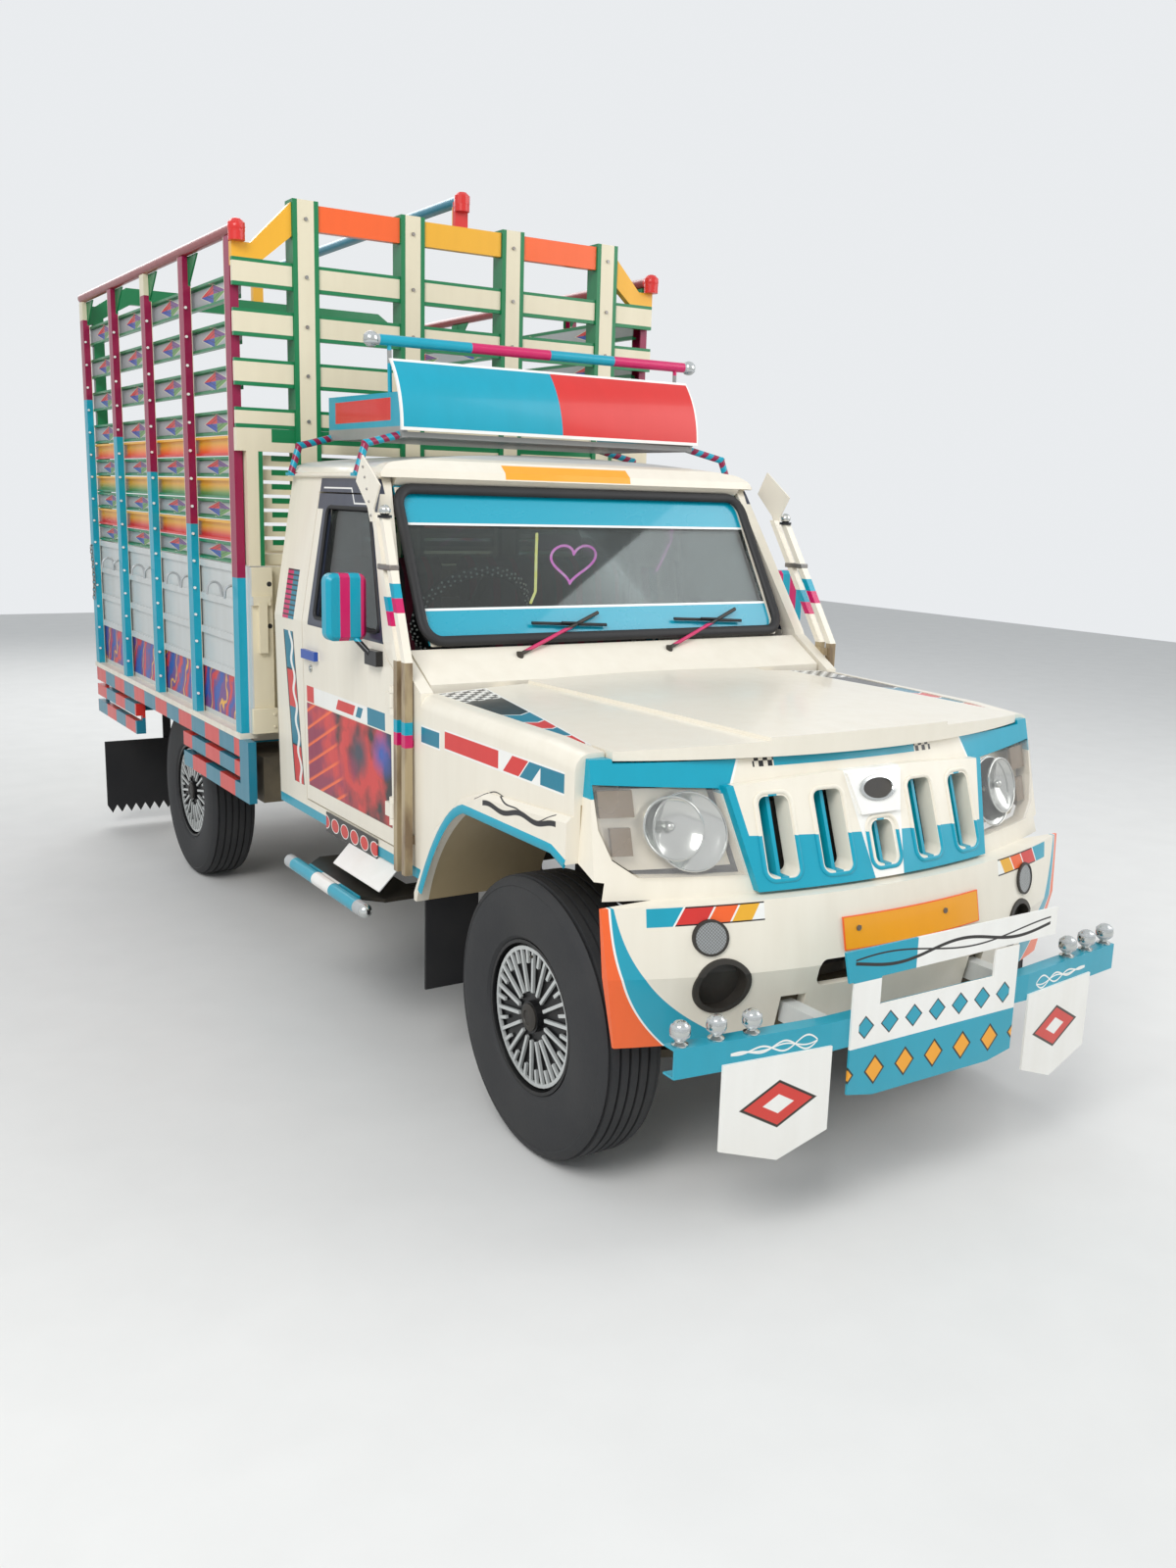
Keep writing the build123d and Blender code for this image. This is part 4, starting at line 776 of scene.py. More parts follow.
def rounded(corners: Sequence[tuple[float, float]], radius: float,
            steps: int = 6) -> list[tuple[float, float]]:
    """Outline with its corners rounded.

    Args:
        corners: The outline's corners in order.
        radius: Radius of each corner.
        steps: Pieces that each corner is drawn in.

    Returns:
        The rounded outline's points.
    """
    points = []
    for index, corner in enumerate(corners):
        here = Vector(corner)
        back = (Vector(corners[index - 1]) - here).normalized()
        ahead = (Vector(corners[(index + 1) % len(corners)]) - here).normalized()
        half = back.angle(ahead) / 2
        centre = here + (back + ahead).normalized() * (radius / math.sin(half))
        start = here + back * (radius / math.tan(half)) - centre
        end = here + ahead * (radius / math.tan(half)) - centre
        first = math.atan2(start.y, start.x)
        sweep = (math.atan2(end.y, end.x) - first + math.pi) % (2 * math.pi) - math.pi
        for step in range(steps + 1):
            turn = first + sweep * step / steps
            points.append((centre.x + radius * math.cos(turn), centre.y + radius * math.sin(turn)))
    return points


@dataclass(frozen=True)
class Bow:
    """Bowed front surface through (height, half width, front at the side, front at the middle) rows."""

    rows: Rows

    def at(self, across: float, height: float, proud: float = 0.0) -> Vector:
        """Point on the surface, or ahead of it by a distance."""
        half, side, middle = (blend([(row[0], row[column]) for row in self.rows], height)
                              for column in (1, 2, 3))
        sag = side - middle
        radius = (half * half + sag * sag) / (2 * sag)
        distance = middle + radius - math.sqrt(max(radius * radius - across * across, 0.0))
        return locate(across, distance - proud, height)

    def loop(self, centre: tuple[float, float], radius: float, proud: float, wide: float = 1.0,
             count: int = 40) -> list[Vector]:
        """Circle or ellipse of points laid on the surface."""
        return [self.at(centre[0] + radius * wide * math.cos(turn), centre[1] + radius * math.sin(turn),
                        proud) for turn in turns(count)]

    def grid(self, left: float | Rows, right: float | Rows, low: float, high: float, proud: float,
             side: int = 1,
             rows: int = 6, columns: int = 14) -> list[list[Vector]]:
        """Grid of points laid on the surface.

        Args:
            left: One side edge, as a place across or as (height, place across) rows.
            right: The other side edge.
            low: Its foot.
            high: Its top.
            proud: Distance ahead of the surface.
            side: The vehicle's side, which turns the edges round.
            rows: Pieces up.
            columns: Pieces across.

        Returns:
            Rows of points.
        """
        grid = []
        for row in range(rows + 1):
            z = low + (high - low) * row / rows
            x0, x1 = (side * (edge if isinstance(edge, float) else blend(edge, z)) for edge in (left, right))
            grid.append([self.at(x0 + (x1 - x0) * column / columns, z, proud)
                         for column in range(columns + 1)])
        return grid


NOSE = Bow(((0.788, 0.772, -0.345, -0.498), (1.110, 0.754, -0.277, -0.382)))
BUMPER = Bow(((0.440, 0.742, -0.400, -0.545), (0.620, 0.776, -0.415, -0.590), (0.788, 0.790, -0.398, -0.552)))


# Road wheels


@dataclass
class RoadWheels:
    """Ribbed tyres and silver-and-black wheel covers."""

    tyre_radius: float = 0.375
    width: float = 0.195
    rim: float = 0.2053
    face: float = 0.757
    groove: float = 0.008
    wheelbase: float = 3.0

    def profile(self) -> list[tuple[float, float]]:
        """Section of the tyre as (along, radius) points, from inner bead to outer bead."""
        half, top = self.width / 2, self.tyre_radius
        wall = [(-half + 0.020, self.rim), (-half + 0.010, self.rim + 0.010),
                (-half + 0.006, self.rim + 0.030), (-half + 0.001, self.rim + 0.060),
                (-half, self.rim + 0.085), (-half + 0.0005, self.rim + 0.112), (-half + 0.004, top - 0.044),
                (-half + 0.008, top - 0.030), (-half + 0.006, top - 0.027), (-half + 0.014, top - 0.012),
                (-half + 0.022, top - 0.005)]
        tread = []
        ribs = 5
        reach = half - 0.028
        pitch = 2 * reach / ribs
        for rib in range(ribs):
            left = -reach + rib * pitch
            crown = [top - 0.0003 - 0.6 * (x / half) ** 2 * 0.004
                     for x in (left + 0.004, left + pitch - 0.004)]
            tread += [(left + 0.0025, crown[0] - self.groove), (left + 0.004, crown[0]),
                      (left + pitch - 0.004, crown[1]), (left + pitch - 0.0025, crown[1] - self.groove)]
        return wall + tread + [(-along, radius) for along, radius in reversed(wall)]

    def cover(self, at: Place) -> list[Zone]:
        """Silver spokes and ring over a black dish, a dark hub and a black lip."""
        out = at.near(at.aft.fold(self.wheelbase), at.z, (0.0, self.tyre_radius))
        face = at.side.above(0.7245, SOFT) & out.within(0.060, 0.1885, 0.001)
        cap = at.side.above(0.7355, 0.001) & out.within(0.022, 0.026, 0.001)
        return [(face, Hue.RIB_GREY), (cap, Hue.GREY)]

    def caps(self, body: str, side: int, distance: float, name: str) -> None:
        """Domed hub cap with a blank oval, and the valve."""
        shape = Shape()
        profile = [(0.0, 0.0005), (0.0, 0.036), (0.004, 0.036), (0.008, 0.030), (0.009, 0.020),
                   (0.006, 0.018), (0.007, 0.0005)]
        shape.lathe(profile, locate(side * 0.7365, distance, self.tyre_radius), Vector((side, 0, 0)), 32)
        valve = locate(side * 0.7185, distance, self.tyre_radius + 0.165)
        shape.disc(valve, Vector((side, 0, 0)), 0.004, 0.020, 10)
        shape.settle(f"hub_cap_{name}", PLASTIC, "wheel_cover", body)

    def build(self) -> None:
        """Makes the four tyres and paints the covers."""
        rows = [("front", 0.0), ("rear", self.wheelbase)]
        for end, distance in rows:
            for side in SIDES:
                body = f"{end}_{SIDE_NAMES[side]}_roadwheel"
                shape = Shape()
                centre = locate(side * (self.face - self.width / 2), distance, self.tyre_radius)
                shape.lathe(self.profile(), centre, Vector((side, 0, 0)), 96)
                tyre = shape.settle(f"ribbed_tyre_{end}_{SIDE_NAMES[side]}", TYRE, "tyre", body, angle=28)
                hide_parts(f"tyre_{end}_{SIDE_NAMES[side]}")
                dress(Moulded("wheel_cover_silver", Hue.INK, dusty=Hue.GREY, design=self.cover,
                              roughness=0.34, metallic=0.35, dust=0.12), f"wheel_{end}_{SIDE_NAMES[side]}")
                self.caps(body, side, distance, f"{end}_{SIDE_NAMES[side]}")


# Cab


@dataclass
class Cab:
    """Cab skin, doors, windows and what is fixed to them."""

    sill_half: float = 0.775
    waist_half: float = 0.785
    roof_half: float = 0.708
    floor_z: float = 0.600
    waist_z: float = 1.270
    eave_z: float = 1.745
    outer_half: float = 0.70
    door_half: float = 0.712
    neon_depth: float = 0.030
    heart_middle: tuple[float, float] = (-0.070, 1.512)
    heart_wide: float = 0.086
    heart_unit: float = 0.0041
    heart_slant: float = 0.5
    screen_foot: tuple[float, float] = (0.738, 1.250)
    screen_head: tuple[float, float] = (1.008, 1.722)

    def skin(self, height: float) -> float:
        """Half width of the cab's outer skin at a height."""
        if height < self.waist_z:
            share = (height - self.floor_z) / (self.waist_z - self.floor_z)
            return self.sill_half + (self.waist_half - self.sill_half) * share
        share = (height - self.waist_z) / (self.eave_z - self.waist_z)
        return self.waist_half + (self.roof_half - self.waist_half) * share

    def on_skin(self, side: int, distance: float, height: float, proud: float = 0.0) -> Vector:
        """Point on the cab's side."""
        return locate(side * (self.skin(height) + proud), distance, height)

    def on_screen(self, across: float, height: float, proud: float = 0.0) -> Vector:
        """Point on the windscreen's plane."""
        (y0, z0), (y1, z1) = self.screen_foot, self.screen_head
        length = math.hypot(y1 - y0, z1 - z0)
        slope = (y1 - y0) / (z1 - z0)
        distance = y0 + (height - z0) * slope
        return locate(across, distance - proud * (z1 - z0) / length, height + proud * (y1 - y0) / length)

    def screen_bands(self, at: Place) -> list[Zone]:
        """Teal bands with white lines across the top and bottom of the windscreen."""
        front = at.aft.below(1.2, 0.01)
        top = at.z.above(1.612) & front
        foot = at.z.below(1.357) & front
        line = (at.z.within(1.605, 1.612) | at.z.within(1.357, 1.364)) & front
        return [(top | foot, Hue.TEAL), (line, Hue.WHITE)]

    def side_paint(self, at: Place) -> list[Zone]:
        """Stripes and bars on the cab's sides."""
        outer = at.side.above(self.outer_half, SOFT)
        sill = at.z.below(0.632) & outer
        bars = at.aft.within(1.555, 1.662) & at.z.within(1.266, 1.434) & outer
        rung = (at.z % 0.0168).within(0.0, 0.0055)
        drift = at.aft + (at.z - 1.22) * -0.125
        column = drift.within(1.562, 1.655) & at.z.within(0.70, 1.225) & outer
        core = drift.within(1.570, 1.647)
        step = (at.z - 0.70) % 0.2625
        wave = (at.z * 60.0).sine() * 0.010
        shade = (drift + wave).within(1.580, 1.600)
        return [(sill, Hue.TEAL), (bars, Hue.DEEP_TEAL), (bars & at.aft.above(1.607), Hue.MAGENTA),
                (bars & rung, Hue.INK),
                (column, Hue.INK), (column & core & step.below(0.128), Hue.RED),
                (column & core & step.above(0.134), Hue.DEEP_TEAL), (column & shade, Hue.WHITE),
                (outer & at.z.below(1.25) & at.aft.within(1.7355, 1.7385), Hue.GREY), *self.visor(at)]

    def visor(self, at: Place) -> list[Zone]:
        """Dark band with a stepped white line over the door's window."""
        outer = at.side.above(self.outer_half, SOFT)
        band = at.z.within(1.640, 1.739) & at.aft.within(0.985, 1.470) & outer
        step = abs(at.aft - (at.z - 1.6625) * 0.82 - 1.170).below(0.004) & at.z.within(1.660, 1.711)
        line = ((at.z.within(1.706, 1.711) & at.aft.within(1.206, 1.440)) | step
                | (at.z.within(1.660, 1.665) & at.aft.within(1.02, 1.170)))
        return [(band, Hue.NAVY), (band & line, Hue.WHITE)]

    def door_paint(self, at: Place) -> list[Zone]:
        """Window surround, waist strip and lower panel of the doors."""
        outer = at.side.above(self.door_half, SOFT)
        slope = (at.z - 1.277) * 0.504 + 0.800
        surround = (at.z.above(1.262) & at.z.below(1.672) & (at.aft - slope).above(0.0)
                    & at.aft.below(1.424) & outer)
        strip = at.aft.within(0.808, 1.448) & at.z.within(1.002, 1.056) & outer
        panel = at.aft.within(0.766, 1.450) & at.z.within(0.712, 0.998) & outer
        ray = (at.aft * 0.8 + at.z * 1.9) % 0.115
        glow = at.near(at.aft, at.z, (1.02, 0.90))
        painter = at.painter
        swirl = painter.noise(7.0, 4.0)
        fog = painter.noise(4.0, 3.0)
        patch = at.near(at.aft, at.z, (0.84, 0.93)) + swirl * 0.10
        handle = at.side.above(0.7868, CRISP) & at.aft.above(1.30) & at.z.within(1.148, 1.182)
        return [
            (at.z.below(0.632) & at.side.above(self.outer_half, SOFT), Hue.TEAL), (surround, Hue.NAVY),
            *self.visor(at),
            (handle, Hue.BLUE), (strip, Hue.WHITE),
            (strip & at.aft.above(1.385), Hue.RED), (strip & at.aft.below(0.94), Hue.DEEP_TEAL),
            *(at.aft + at.z * 0.6).bars(strip & at.z.within(1.012, 1.046), (1.66, 1.80, Hue.RED),
                                        (1.60, 1.64, Hue.DEEP_TEAL)),
            (panel, Hue.INK), (panel & (fog + at.aft * 0.9).above(1.50, 0.14), Hue.MAROON),
            (panel & (fog * 0.6 + swirl * 0.6 + glow * -0.8).within(0.40, 0.60, 0.12), Hue.RED),
            (panel & ray.below(0.020, 0.012) & glow.above(0.18, 0.05) & at.aft.above(1.12, 0.05), Hue.ORANGE),
            (panel & (glow + swirl * 0.12).below(0.115, 0.08), Hue.NAVY),
            (panel & patch.below(0.10, 0.08), Hue.BLUE), (panel & patch.below(0.035, 0.04), Hue.SKY),
        ]

    def roof_paint(self, at: Place) -> list[Zone]:
        """Blank orange label on the brow of the roof, and grey over the crown behind it as painted shade and
        reflection.
        """
        label = at.x.within(-0.285, 0.194) & at.z.within(1.749, 1.793) & at.aft.below(1.06, SOFT)
        # Grey over the crown behind the brow is painted shade and sky reflection.
        return [(at.z.above(1.775, 0.01) & at.aft.above(1.06, 0.02), Hue.RIB_GREY), (label, Hue.PLATE)]

    def bonnet_paint(self, at: Place) -> list[Zone]:
        """Tapered decal of checks, black and arrows along each edge of the bonnet."""
        edge = at.side - at.aft * 0.0345 - 0.711
        reach = (at.aft + 0.221) * 0.20
        rim = at.aft.within(-0.221, 0.565) & (edge + reach).above(0.0)
        field = at.aft.within(-0.205, 0.558) & (edge + reach).above(0.006)
        chevron = at.aft + abs(edge + reach * 0.5) * -0.6
        check = chequer(at.aft, edge, 0.044, 0.046)
        arrows = chevron.bars(field, (0.08, 0.178, Hue.DEEP_TEAL), (0.0, 0.074, Hue.RED),
                              (-0.09, -0.006, Hue.DEEP_TEAL), (-0.30, -0.096, Hue.RED),
                              *((joint - 0.003, joint + 0.003, Hue.WHITE)
                                for joint in (0.179, 0.077, -0.003, -0.093)))
        return [(rim, Hue.WHITE), (field, Hue.INK), (field & at.aft.above(0.41) & check, Hue.WHITE), *arrows]

    def mirror_paint(self, at: Place) -> list[Zone]:
        """Teal and magenta stripes down the mirror's housing, over a black foot."""
        head = at.z.above(1.2625, CRISP)
        magenta = at.side.within(0.851, 0.882) | at.side.below(0.817)
        return [(head, Hue.TEAL), (head & magenta, Hue.MAGENTA)]

    def wiper_paint(self, at: Place) -> list[Zone]:
        """Magenta lower half of the wiper arms."""
        return [(at.z.within(1.242, 1.300, SOFT), Hue.MAGENTA)]

    def screen_trim(self) -> None:
        """Rubber seal with rounded corners round the windscreen, and the panel behind its corners."""
        corners = [(-0.680, 1.268), (0.680, 1.268), (0.662, 1.708), (-0.662, 1.708)]
        inner = rounded(corners, 0.055)
        (y0, z0), (y1, z1) = self.screen_foot, self.screen_head
        out = Vector((0, -(z1 - z0), y1 - y0)).normalized()
        shape = Shape()
        shape.tube([self.on_screen(x, z, 0.009) for x, z in inner], 0.017, closed=True, sides=12, flat=0.7,
                   up=out)
        shape.settle("windscreen_seal", RUBBER, "black_plastic")
        outer = rounded([(-0.6615, 1.258), (0.6615, 1.258), (0.6615, 1.716), (-0.6615, 1.716)], 0.003)
        inner = rounded([(-0.655, 1.272), (0.655, 1.272), (0.648, 1.702), (-0.648, 1.702)], 0.042)
        shape = Shape()
        shape.shell([[self.on_screen(x, z, proud) for x, z in path] for path, proud in
                     ((inner, -0.0005), (outer, -0.0005), (outer, -0.003), (inner, -0.003))], closed=True)
        shape.settle("windscreen_corners", Enamel("corner_paint", Hue.CREAM), "cream_paint")
        blades = Shape()
        for start, end in ((-0.306, -0.034), (0.239, 0.518)):
            path = [self.on_screen(start + (end - start) * step / 8, 1.312 - 0.012 * step / 8, 0.009)
                    for step in range(9)]
            blades.tube(path, 0.0055, sides=8, flat=0.8, up=out)
            blades.tube([point + out * 0.009 for point in path[3:6]], 0.004, sides=8, up=out)
        blades.settle("wiper_blades", RUBBER, "black_plastic")

    def cabin(self) -> None:
        """Neon lines behind the windscreen, inner mirror, hanging tag and dotted wheel cover."""
        heart = []
        for turn in turns(48):
            rise = self.heart_unit * sum(
                weight * math.cos(order * turn) for order, weight in ((1, 13), (2, -5), (3, -2), (4, -1)))
            x = self.heart_middle[0] + self.heart_wide * math.sin(turn) ** 3 + self.heart_slant * rise
            heart.append(self.on_screen(x, self.heart_middle[1] + rise, -self.neon_depth))
        neon = Shape()
        neon.tube(heart, 0.0042, closed=True, sides=8)
        line = Shape()
        for tube, radius, points in (
                (neon, 0.004, ((0.366, 1.617), (0.350, 1.579), (0.322, 1.550), (0.295, 1.521),
                               (0.254, 1.481))),
                (line, 0.0045, ((-0.179, 1.598), (-0.203, 1.530), (-0.224, 1.467), (-0.240, 1.420),
                                (-0.268, 1.386)))):
            tube.tube([self.on_screen(x, z, -self.neon_depth) for x, z in points], radius, sides=8)
        neon.settle("neon_heart", Glow("neon_magenta", Hue.PINK), "lamp_glass")
        line.settle("neon_line", Glow("neon_yellow", Hue.LEMON), "lamp_glass")
        glass = Shape()
        middle = self.on_screen(-0.075, 1.592, -0.075)
        glass.box(middle - Vector((0.085, 0.012, 0.026)), middle + Vector((0.085, 0.012, 0.026)))
        glass.tube([middle, middle + Vector((0.0, 0.030, 0.070)), middle + Vector((0.0, 0.045, 0.150))],
                   0.006, sides=8, up=ACROSS)
        glass.settle("inner_mirror", PLASTIC, "black_plastic", bevel=0.008)
        tag = Shape()
        corners = ((-0.019, 1.583), (0.078, 1.580), (0.093, 1.617), (-0.022, 1.617))
        tag.prism([self.on_screen(x, z, -0.022) for x, z in corners], Vector((0, 0.002, 0)))
        tag.settle("screen_tag", Enamel("tag_paint", Hue.WHITE), "cream_paint")
        centre = locate(-0.380, 1.040, 1.325)
        axis = Vector((0, math.sin(math.radians(50)), math.cos(math.radians(50))))
        ring, thick = 0.185, 0.0175
        cover, dots = Shape(), []
        cover.tube(circle(centre, axis, ring, 64, ACROSS), thick, closed=True, up=axis)
        for number, out in enumerate(circle(ORIGIN, axis, 1.0, 66, ACROSS)):
            for tilt in ((0.2, 1.1) if number % 2 else (0.65, 1.5)):
                dots.append((centre + out * (ring + thick * math.cos(tilt)) - axis * (thick * math.sin(tilt)),
                             FLAT))
        cover.settle("wheel_cover_ring", RUBBER, "black_plastic")
        pearl = Shape()
        pearl.ball(ORIGIN, 0.0042, 8)
        Setting().spread("wheel_cover_dots", pearl, dots, Enamel("pearl", Hue.WHITE), "cream_paint")

    def door_trim(self, side: int) -> None:
        """Window seal, keyhole and mirror glass of one door."""
        name, body = SIDE_NAMES[side], f"{SIDE_NAMES[side]}_door"
        corners = [(0.8404, 1.290), (1.0446, 1.647), (1.386, 1.647), (1.376, 1.290)]
        seal = Shape()
        seal.tube([self.on_skin(side, y, z, -0.001) for y, z in rounded(corners, 0.022)], 0.0065, closed=True,
                  sides=8, up=ACROSS)
        seal.settle(f"window_seal_{name}", RUBBER, "black_plastic", body)
        lock = Shape()
        lock.disc(self.on_skin(side, 1.403, 1.118, -0.002), Vector((side, 0, 0)), 0.012, 0.006, 20)
        lock.disc(self.on_skin(side, 1.403, 1.118, 0.003), Vector((side, 0, 0)), 0.006, 0.003, 12)
        lock.settle(f"door_lock_{name}", CHROME, "silver_paint", body)
        face = Shape()
        outline = rounded([(0.805, 1.276), (0.912, 1.276), (0.912, 1.451), (0.805, 1.451)], 0.018)
        face.prism([locate(side * x, 0.9452, z) for x, z in outline], Vector((0, 0.001, 0)))
        face.settle(f"mirror_glass_{name}", CHROME, "silver_paint", body)

    def sill_trim(self) -> None:
        """Bordered plate on each sill, the white flap below it, and the roof's drip rails."""
        plates, flaps, rails = Shape(), Shape(), Shape()
        for side in SIDES:
            low, high = 0.585, 0.652
            outline = [(0.872, low), (1.288, low), (1.288, high), (0.872, high)]
            plates.prism([locate(side * 0.7785, y, z) for y, z in outline], Vector((side * 0.003, 0, 0)))
            top = [locate(side * 0.768, y, 0.5985) for y in (0.735, 1.100)]
            foot = [locate(side * 0.856, y, 0.545) for y in (0.690, 1.045)]
            back = Vector((-side * 0.0015, 0, -0.0025))
            flaps.slab([top, foot], [[point + back for point in row] for row in (top, foot)])
            rails.tube([locate(side * 0.7165, y, 1.748) for y in (0.988, 1.25, 1.50, 1.755)], 0.006, sides=8)
        plates.settle("sill_plates", Enamel("sill_plate_paint", Hue.INK, self.sill_plate), "red_paint")
        flaps.settle("step_flaps", Enamel("flap_paint", Hue.WHITE), "cream_paint")
        rails.settle("drip_rails", Enamel("rail_cream", Hue.CREAM), "cream_paint")

    def sill_plate(self, at: Place) -> list[Zone]:
        """Red capsules with a light rim on the black plate."""
        cell = (at.aft - 0.01).fold(0.08)
        up = abs(at.z - 0.6185)
        form = cell * cell * 900.0 + up * up * 1700.0
        return [(form.below(1.0, 0.05), Hue.WHITE), (form.below(0.78, 0.05), Hue.RED)]

    def build(self) -> None:
        """Paints the cab and fits its trim."""
        dress(Enamel("cab_side_paint", Hue.CREAM, self.side_paint), "cab_shell")
        dress(Enamel("door_paint", Hue.CREAM, self.door_paint), "door_left", "door_right")
        dress(Enamel("roof_paint", Hue.CREAM, self.roof_paint, grime=0.1), "cab_roof")
        dress(Enamel("bonnet_paint", Hue.CREAM, self.bonnet_paint, grime=0.1), "bonnet")
        dress(Enamel("cab_floor_paint", Hue.DARK, grime=0.5, coat=0.0, roughness=0.6), "cab_floor")
        dress(Pane("screen_glass", design=self.screen_bands), "cab_glass")
        dress(Pane("door_window_glass"), "door_glass_left", "door_glass_right")
        dress(TRIM, "dashboard")
        dress(PLASTIC, "steering_wheel")
        dress(Moulded("wiper_paint", Hue.BLACK, design=self.wiper_paint, dust=0.1, roughness=0.45), "wipers")
        dress(Enamel("mirror_paint", Hue.BLACK, self.mirror_paint), "mirror_left", "mirror_right")
        self.screen_trim()
        self.cabin()
        self.sill_trim()
        for side in SIDES:
            self.door_trim(side)


# Nose


@dataclass
class Nose:
    """Nose panel, grille, lamps, bumper, bonnet edge and fenders."""

    slots: tuple[float, ...] = (-0.318, -0.158, 0.0, 0.158, 0.318)
    slot_half: float = 0.051
    bowls: Rows = ((0.569, 0.947, 0.072, -0.002), (0.523, 0.935, 0.090, -0.011))
    cells: Rows = ((0.974, 1.036, 0.655, 0.737), (0.886, 0.950, 0.668, 0.716))
    lamp_inner: Rows = ((0.834, 0.412), (1.030, 0.451))
    lamp_outer: Rows = ((0.842, 0.662), (0.882, 0.715), (0.950, 0.739), (1.050, 0.743))

    def panel_paint(self, at: Place) -> list[Zone]:
        """Teal corners above the lamps and the chequered strip over the grille."""
        edge = at.side + (at.z - 1.03) * 0.475
        corner = edge.above(0.418) & at.z.above(1.02)
        rim = edge.within(0.411, 0.418) & at.z.above(1.02)
        strip = at.x.within(-0.343, 0.255) & at.z.within(1.076, 1.104)
        middle = at.x.within(-0.282, 0.190)
        check = chequer(at.x, at.z - 1.076, 0.026, 0.028)
        return [(corner, Hue.TEAL), (rim, Hue.WHITE), (strip & middle, Hue.TEAL),
                (strip & ~middle & check, Hue.INK)]

    def grille_paint(self, at: Place) -> list[Zone]:
        """Teal foot and border of the grille under a cream top, and the blank centre piece."""
        split = at.z + at.x * 0.051
        border = at.side + (at.z - 0.796) * -0.197
        centre = at.side + (at.z - 0.841) * -0.18
        zones = [(split.below(0.905), Hue.TEAL), (border.above(0.372), Hue.TEAL),
                 (centre.below(0.057), Hue.WHITE)]
        for middle in self.slots:
            near = abs(at.x - middle)
            inside = near.below(0.0445, CRISP) & at.z.within(0.822, 1.022 if middle else 0.934)
            zones += [(inside & at.z.below(1.0), Hue.CREAM), (inside & near.below(0.012), Hue.TEAL)]
        return zones

    def bumper_paint(self, at: Place) -> list[Zone]:
        """Orange ends edged in teal on a cream bumper, with a block of slanted colours by each."""
        drop = at.z * -1.0 + 0.82
        cube = drop * drop * drop
        orange = at.side + drop * 0.05 + cube * 2.3 - 0.775
        teal = at.side + drop * 0.20 + cube * 4.2 - 0.768
        zones = [(teal.above(0.0), Hue.TEAL), (orange.within(-0.005, 0.0), Hue.WHITE),
                 (orange.above(0.0), Hue.ORANGE)]
        block = at.side.within(0.405, 0.690) & at.z.within(0.741, 0.785)
        slant = at.side + at.z * 0.6
        colours = slant.bars(block, (1.075, 1.20, Hue.TEAL), (1.000, 1.070, Hue.RED),
                             (0.940, 0.995, Hue.ORANGE), (0.885, 0.935, Hue.YELLOW))
        lines = block & abs(at.z - 0.763).above(0.0185) & slant.below(1.07)
        return [*zones, (block, Hue.WHITE), *colours, (lines, Hue.INK)]

    def fender_paint(self, at: Place) -> list[Zone]:
        """Waist strip, tag and arch line of the fenders."""
        outer = at.side.above(0.74, SOFT)
        strip = at.aft.within(-0.217, 0.409) & at.z.within(1.015, 1.072) & outer
        inside = strip & at.z.within(1.020, 1.067)
        tag = at.aft.within(0.436, 0.556) & at.z.within(1.008, 1.062) & outer
        inner_tag = at.aft.within(0.442, 0.556) & at.z.within(1.013, 1.057) & outer
        flare = at.side.above(0.786, SOFT)
        swirl = at.z + at.aft * 0.06 + (at.aft * 38.0).sine() * 0.006 - 0.929
        smear = abs(swirl).below(0.007, SOFT) & at.aft.within(-0.215, 0.15) & at.side.above(0.775, SOFT)
        hair = abs(swirl - (at.aft * 17.0).sine() * 0.014 - 0.016).below(0.0016) & at.aft.within(-0.20, 0.20)
        liner = at.side.below(0.7645, CRISP) & at.z.below(1.0)
        return [(strip, Hue.WHITE), (inside & at.aft.above(0.105), Hue.RED),
                (inside & at.aft.below(-0.106), Hue.DEEP_TEAL),
                *(at.aft + at.z).bars(inside, (1.02, 1.10, Hue.RED), (0.955, 1.015, Hue.DEEP_TEAL)),
                (tag, Hue.WHITE), (inner_tag, Hue.DEEP_TEAL), (flare, Hue.CREAM), (smear, Hue.INK),
                (hair & at.side.above(0.775, SOFT), Hue.INK), (liner, Hue.SAND)]

    def lamps(self) -> None:
        """Reflector bowls with rings and bulbs, the indicator's cells, and the plate behind them."""
        bowl, ring, cell, plate = Shape(), Shape(), Shape(), Shape()
        profile = ((1.0, 0.0), (0.88, -0.010), (0.60, -0.020), (0.25, -0.026), (0.08, -0.028), (0.08, -0.031),
                   (0.28, -0.0295), (0.65, -0.024), (0.94, -0.013), (1.04, -0.001))
        for side in SIDES:
            for x, z, size, sunk in self.bowls:
                spot = (side * x, z)
                bowl.shell([NOSE.loop(spot, size * share, sunk + depth, count=56)
                            for share, depth in profile], closed=True)
                ring.tube(NOSE.loop(spot, size * 1.01, sunk + 0.001, count=56), 0.0026, closed=True, sides=8,
                          up=AHEAD)
            bowl.ball(NOSE.at(side * 0.569, 0.947, -0.018), 0.012, 12)
            for low, high, inner, outer in self.cells:
                cell.slab(*(NOSE.grid(inner, outer, low, high, proud, side, 4, 6)
                            for proud in (-0.012, -0.020)))
            plate.slab(*(NOSE.grid(self.lamp_inner, self.lamp_outer, 0.846, 1.032, proud, side)
                         for proud in (-0.0435, -0.0445)))
        bowl.settle("lamp_bowls", CHROME, "lamp_glass", angle=50)
        ring.settle("lamp_rings", CHROME, "lamp_glass")
        bronze = Moulded("indicator_cell", Hue.BRONZE, roughness=0.26, metallic=0.6, grain=60.0)
        cell.settle("indicator_cells", bronze, "lamp_glass")
        pale = Moulded("lamp_back", Hue.CREAM, roughness=0.3, metallic=0.5, grain=60.0)
        plate.settle("lamp_backs", pale, "lamp_glass")

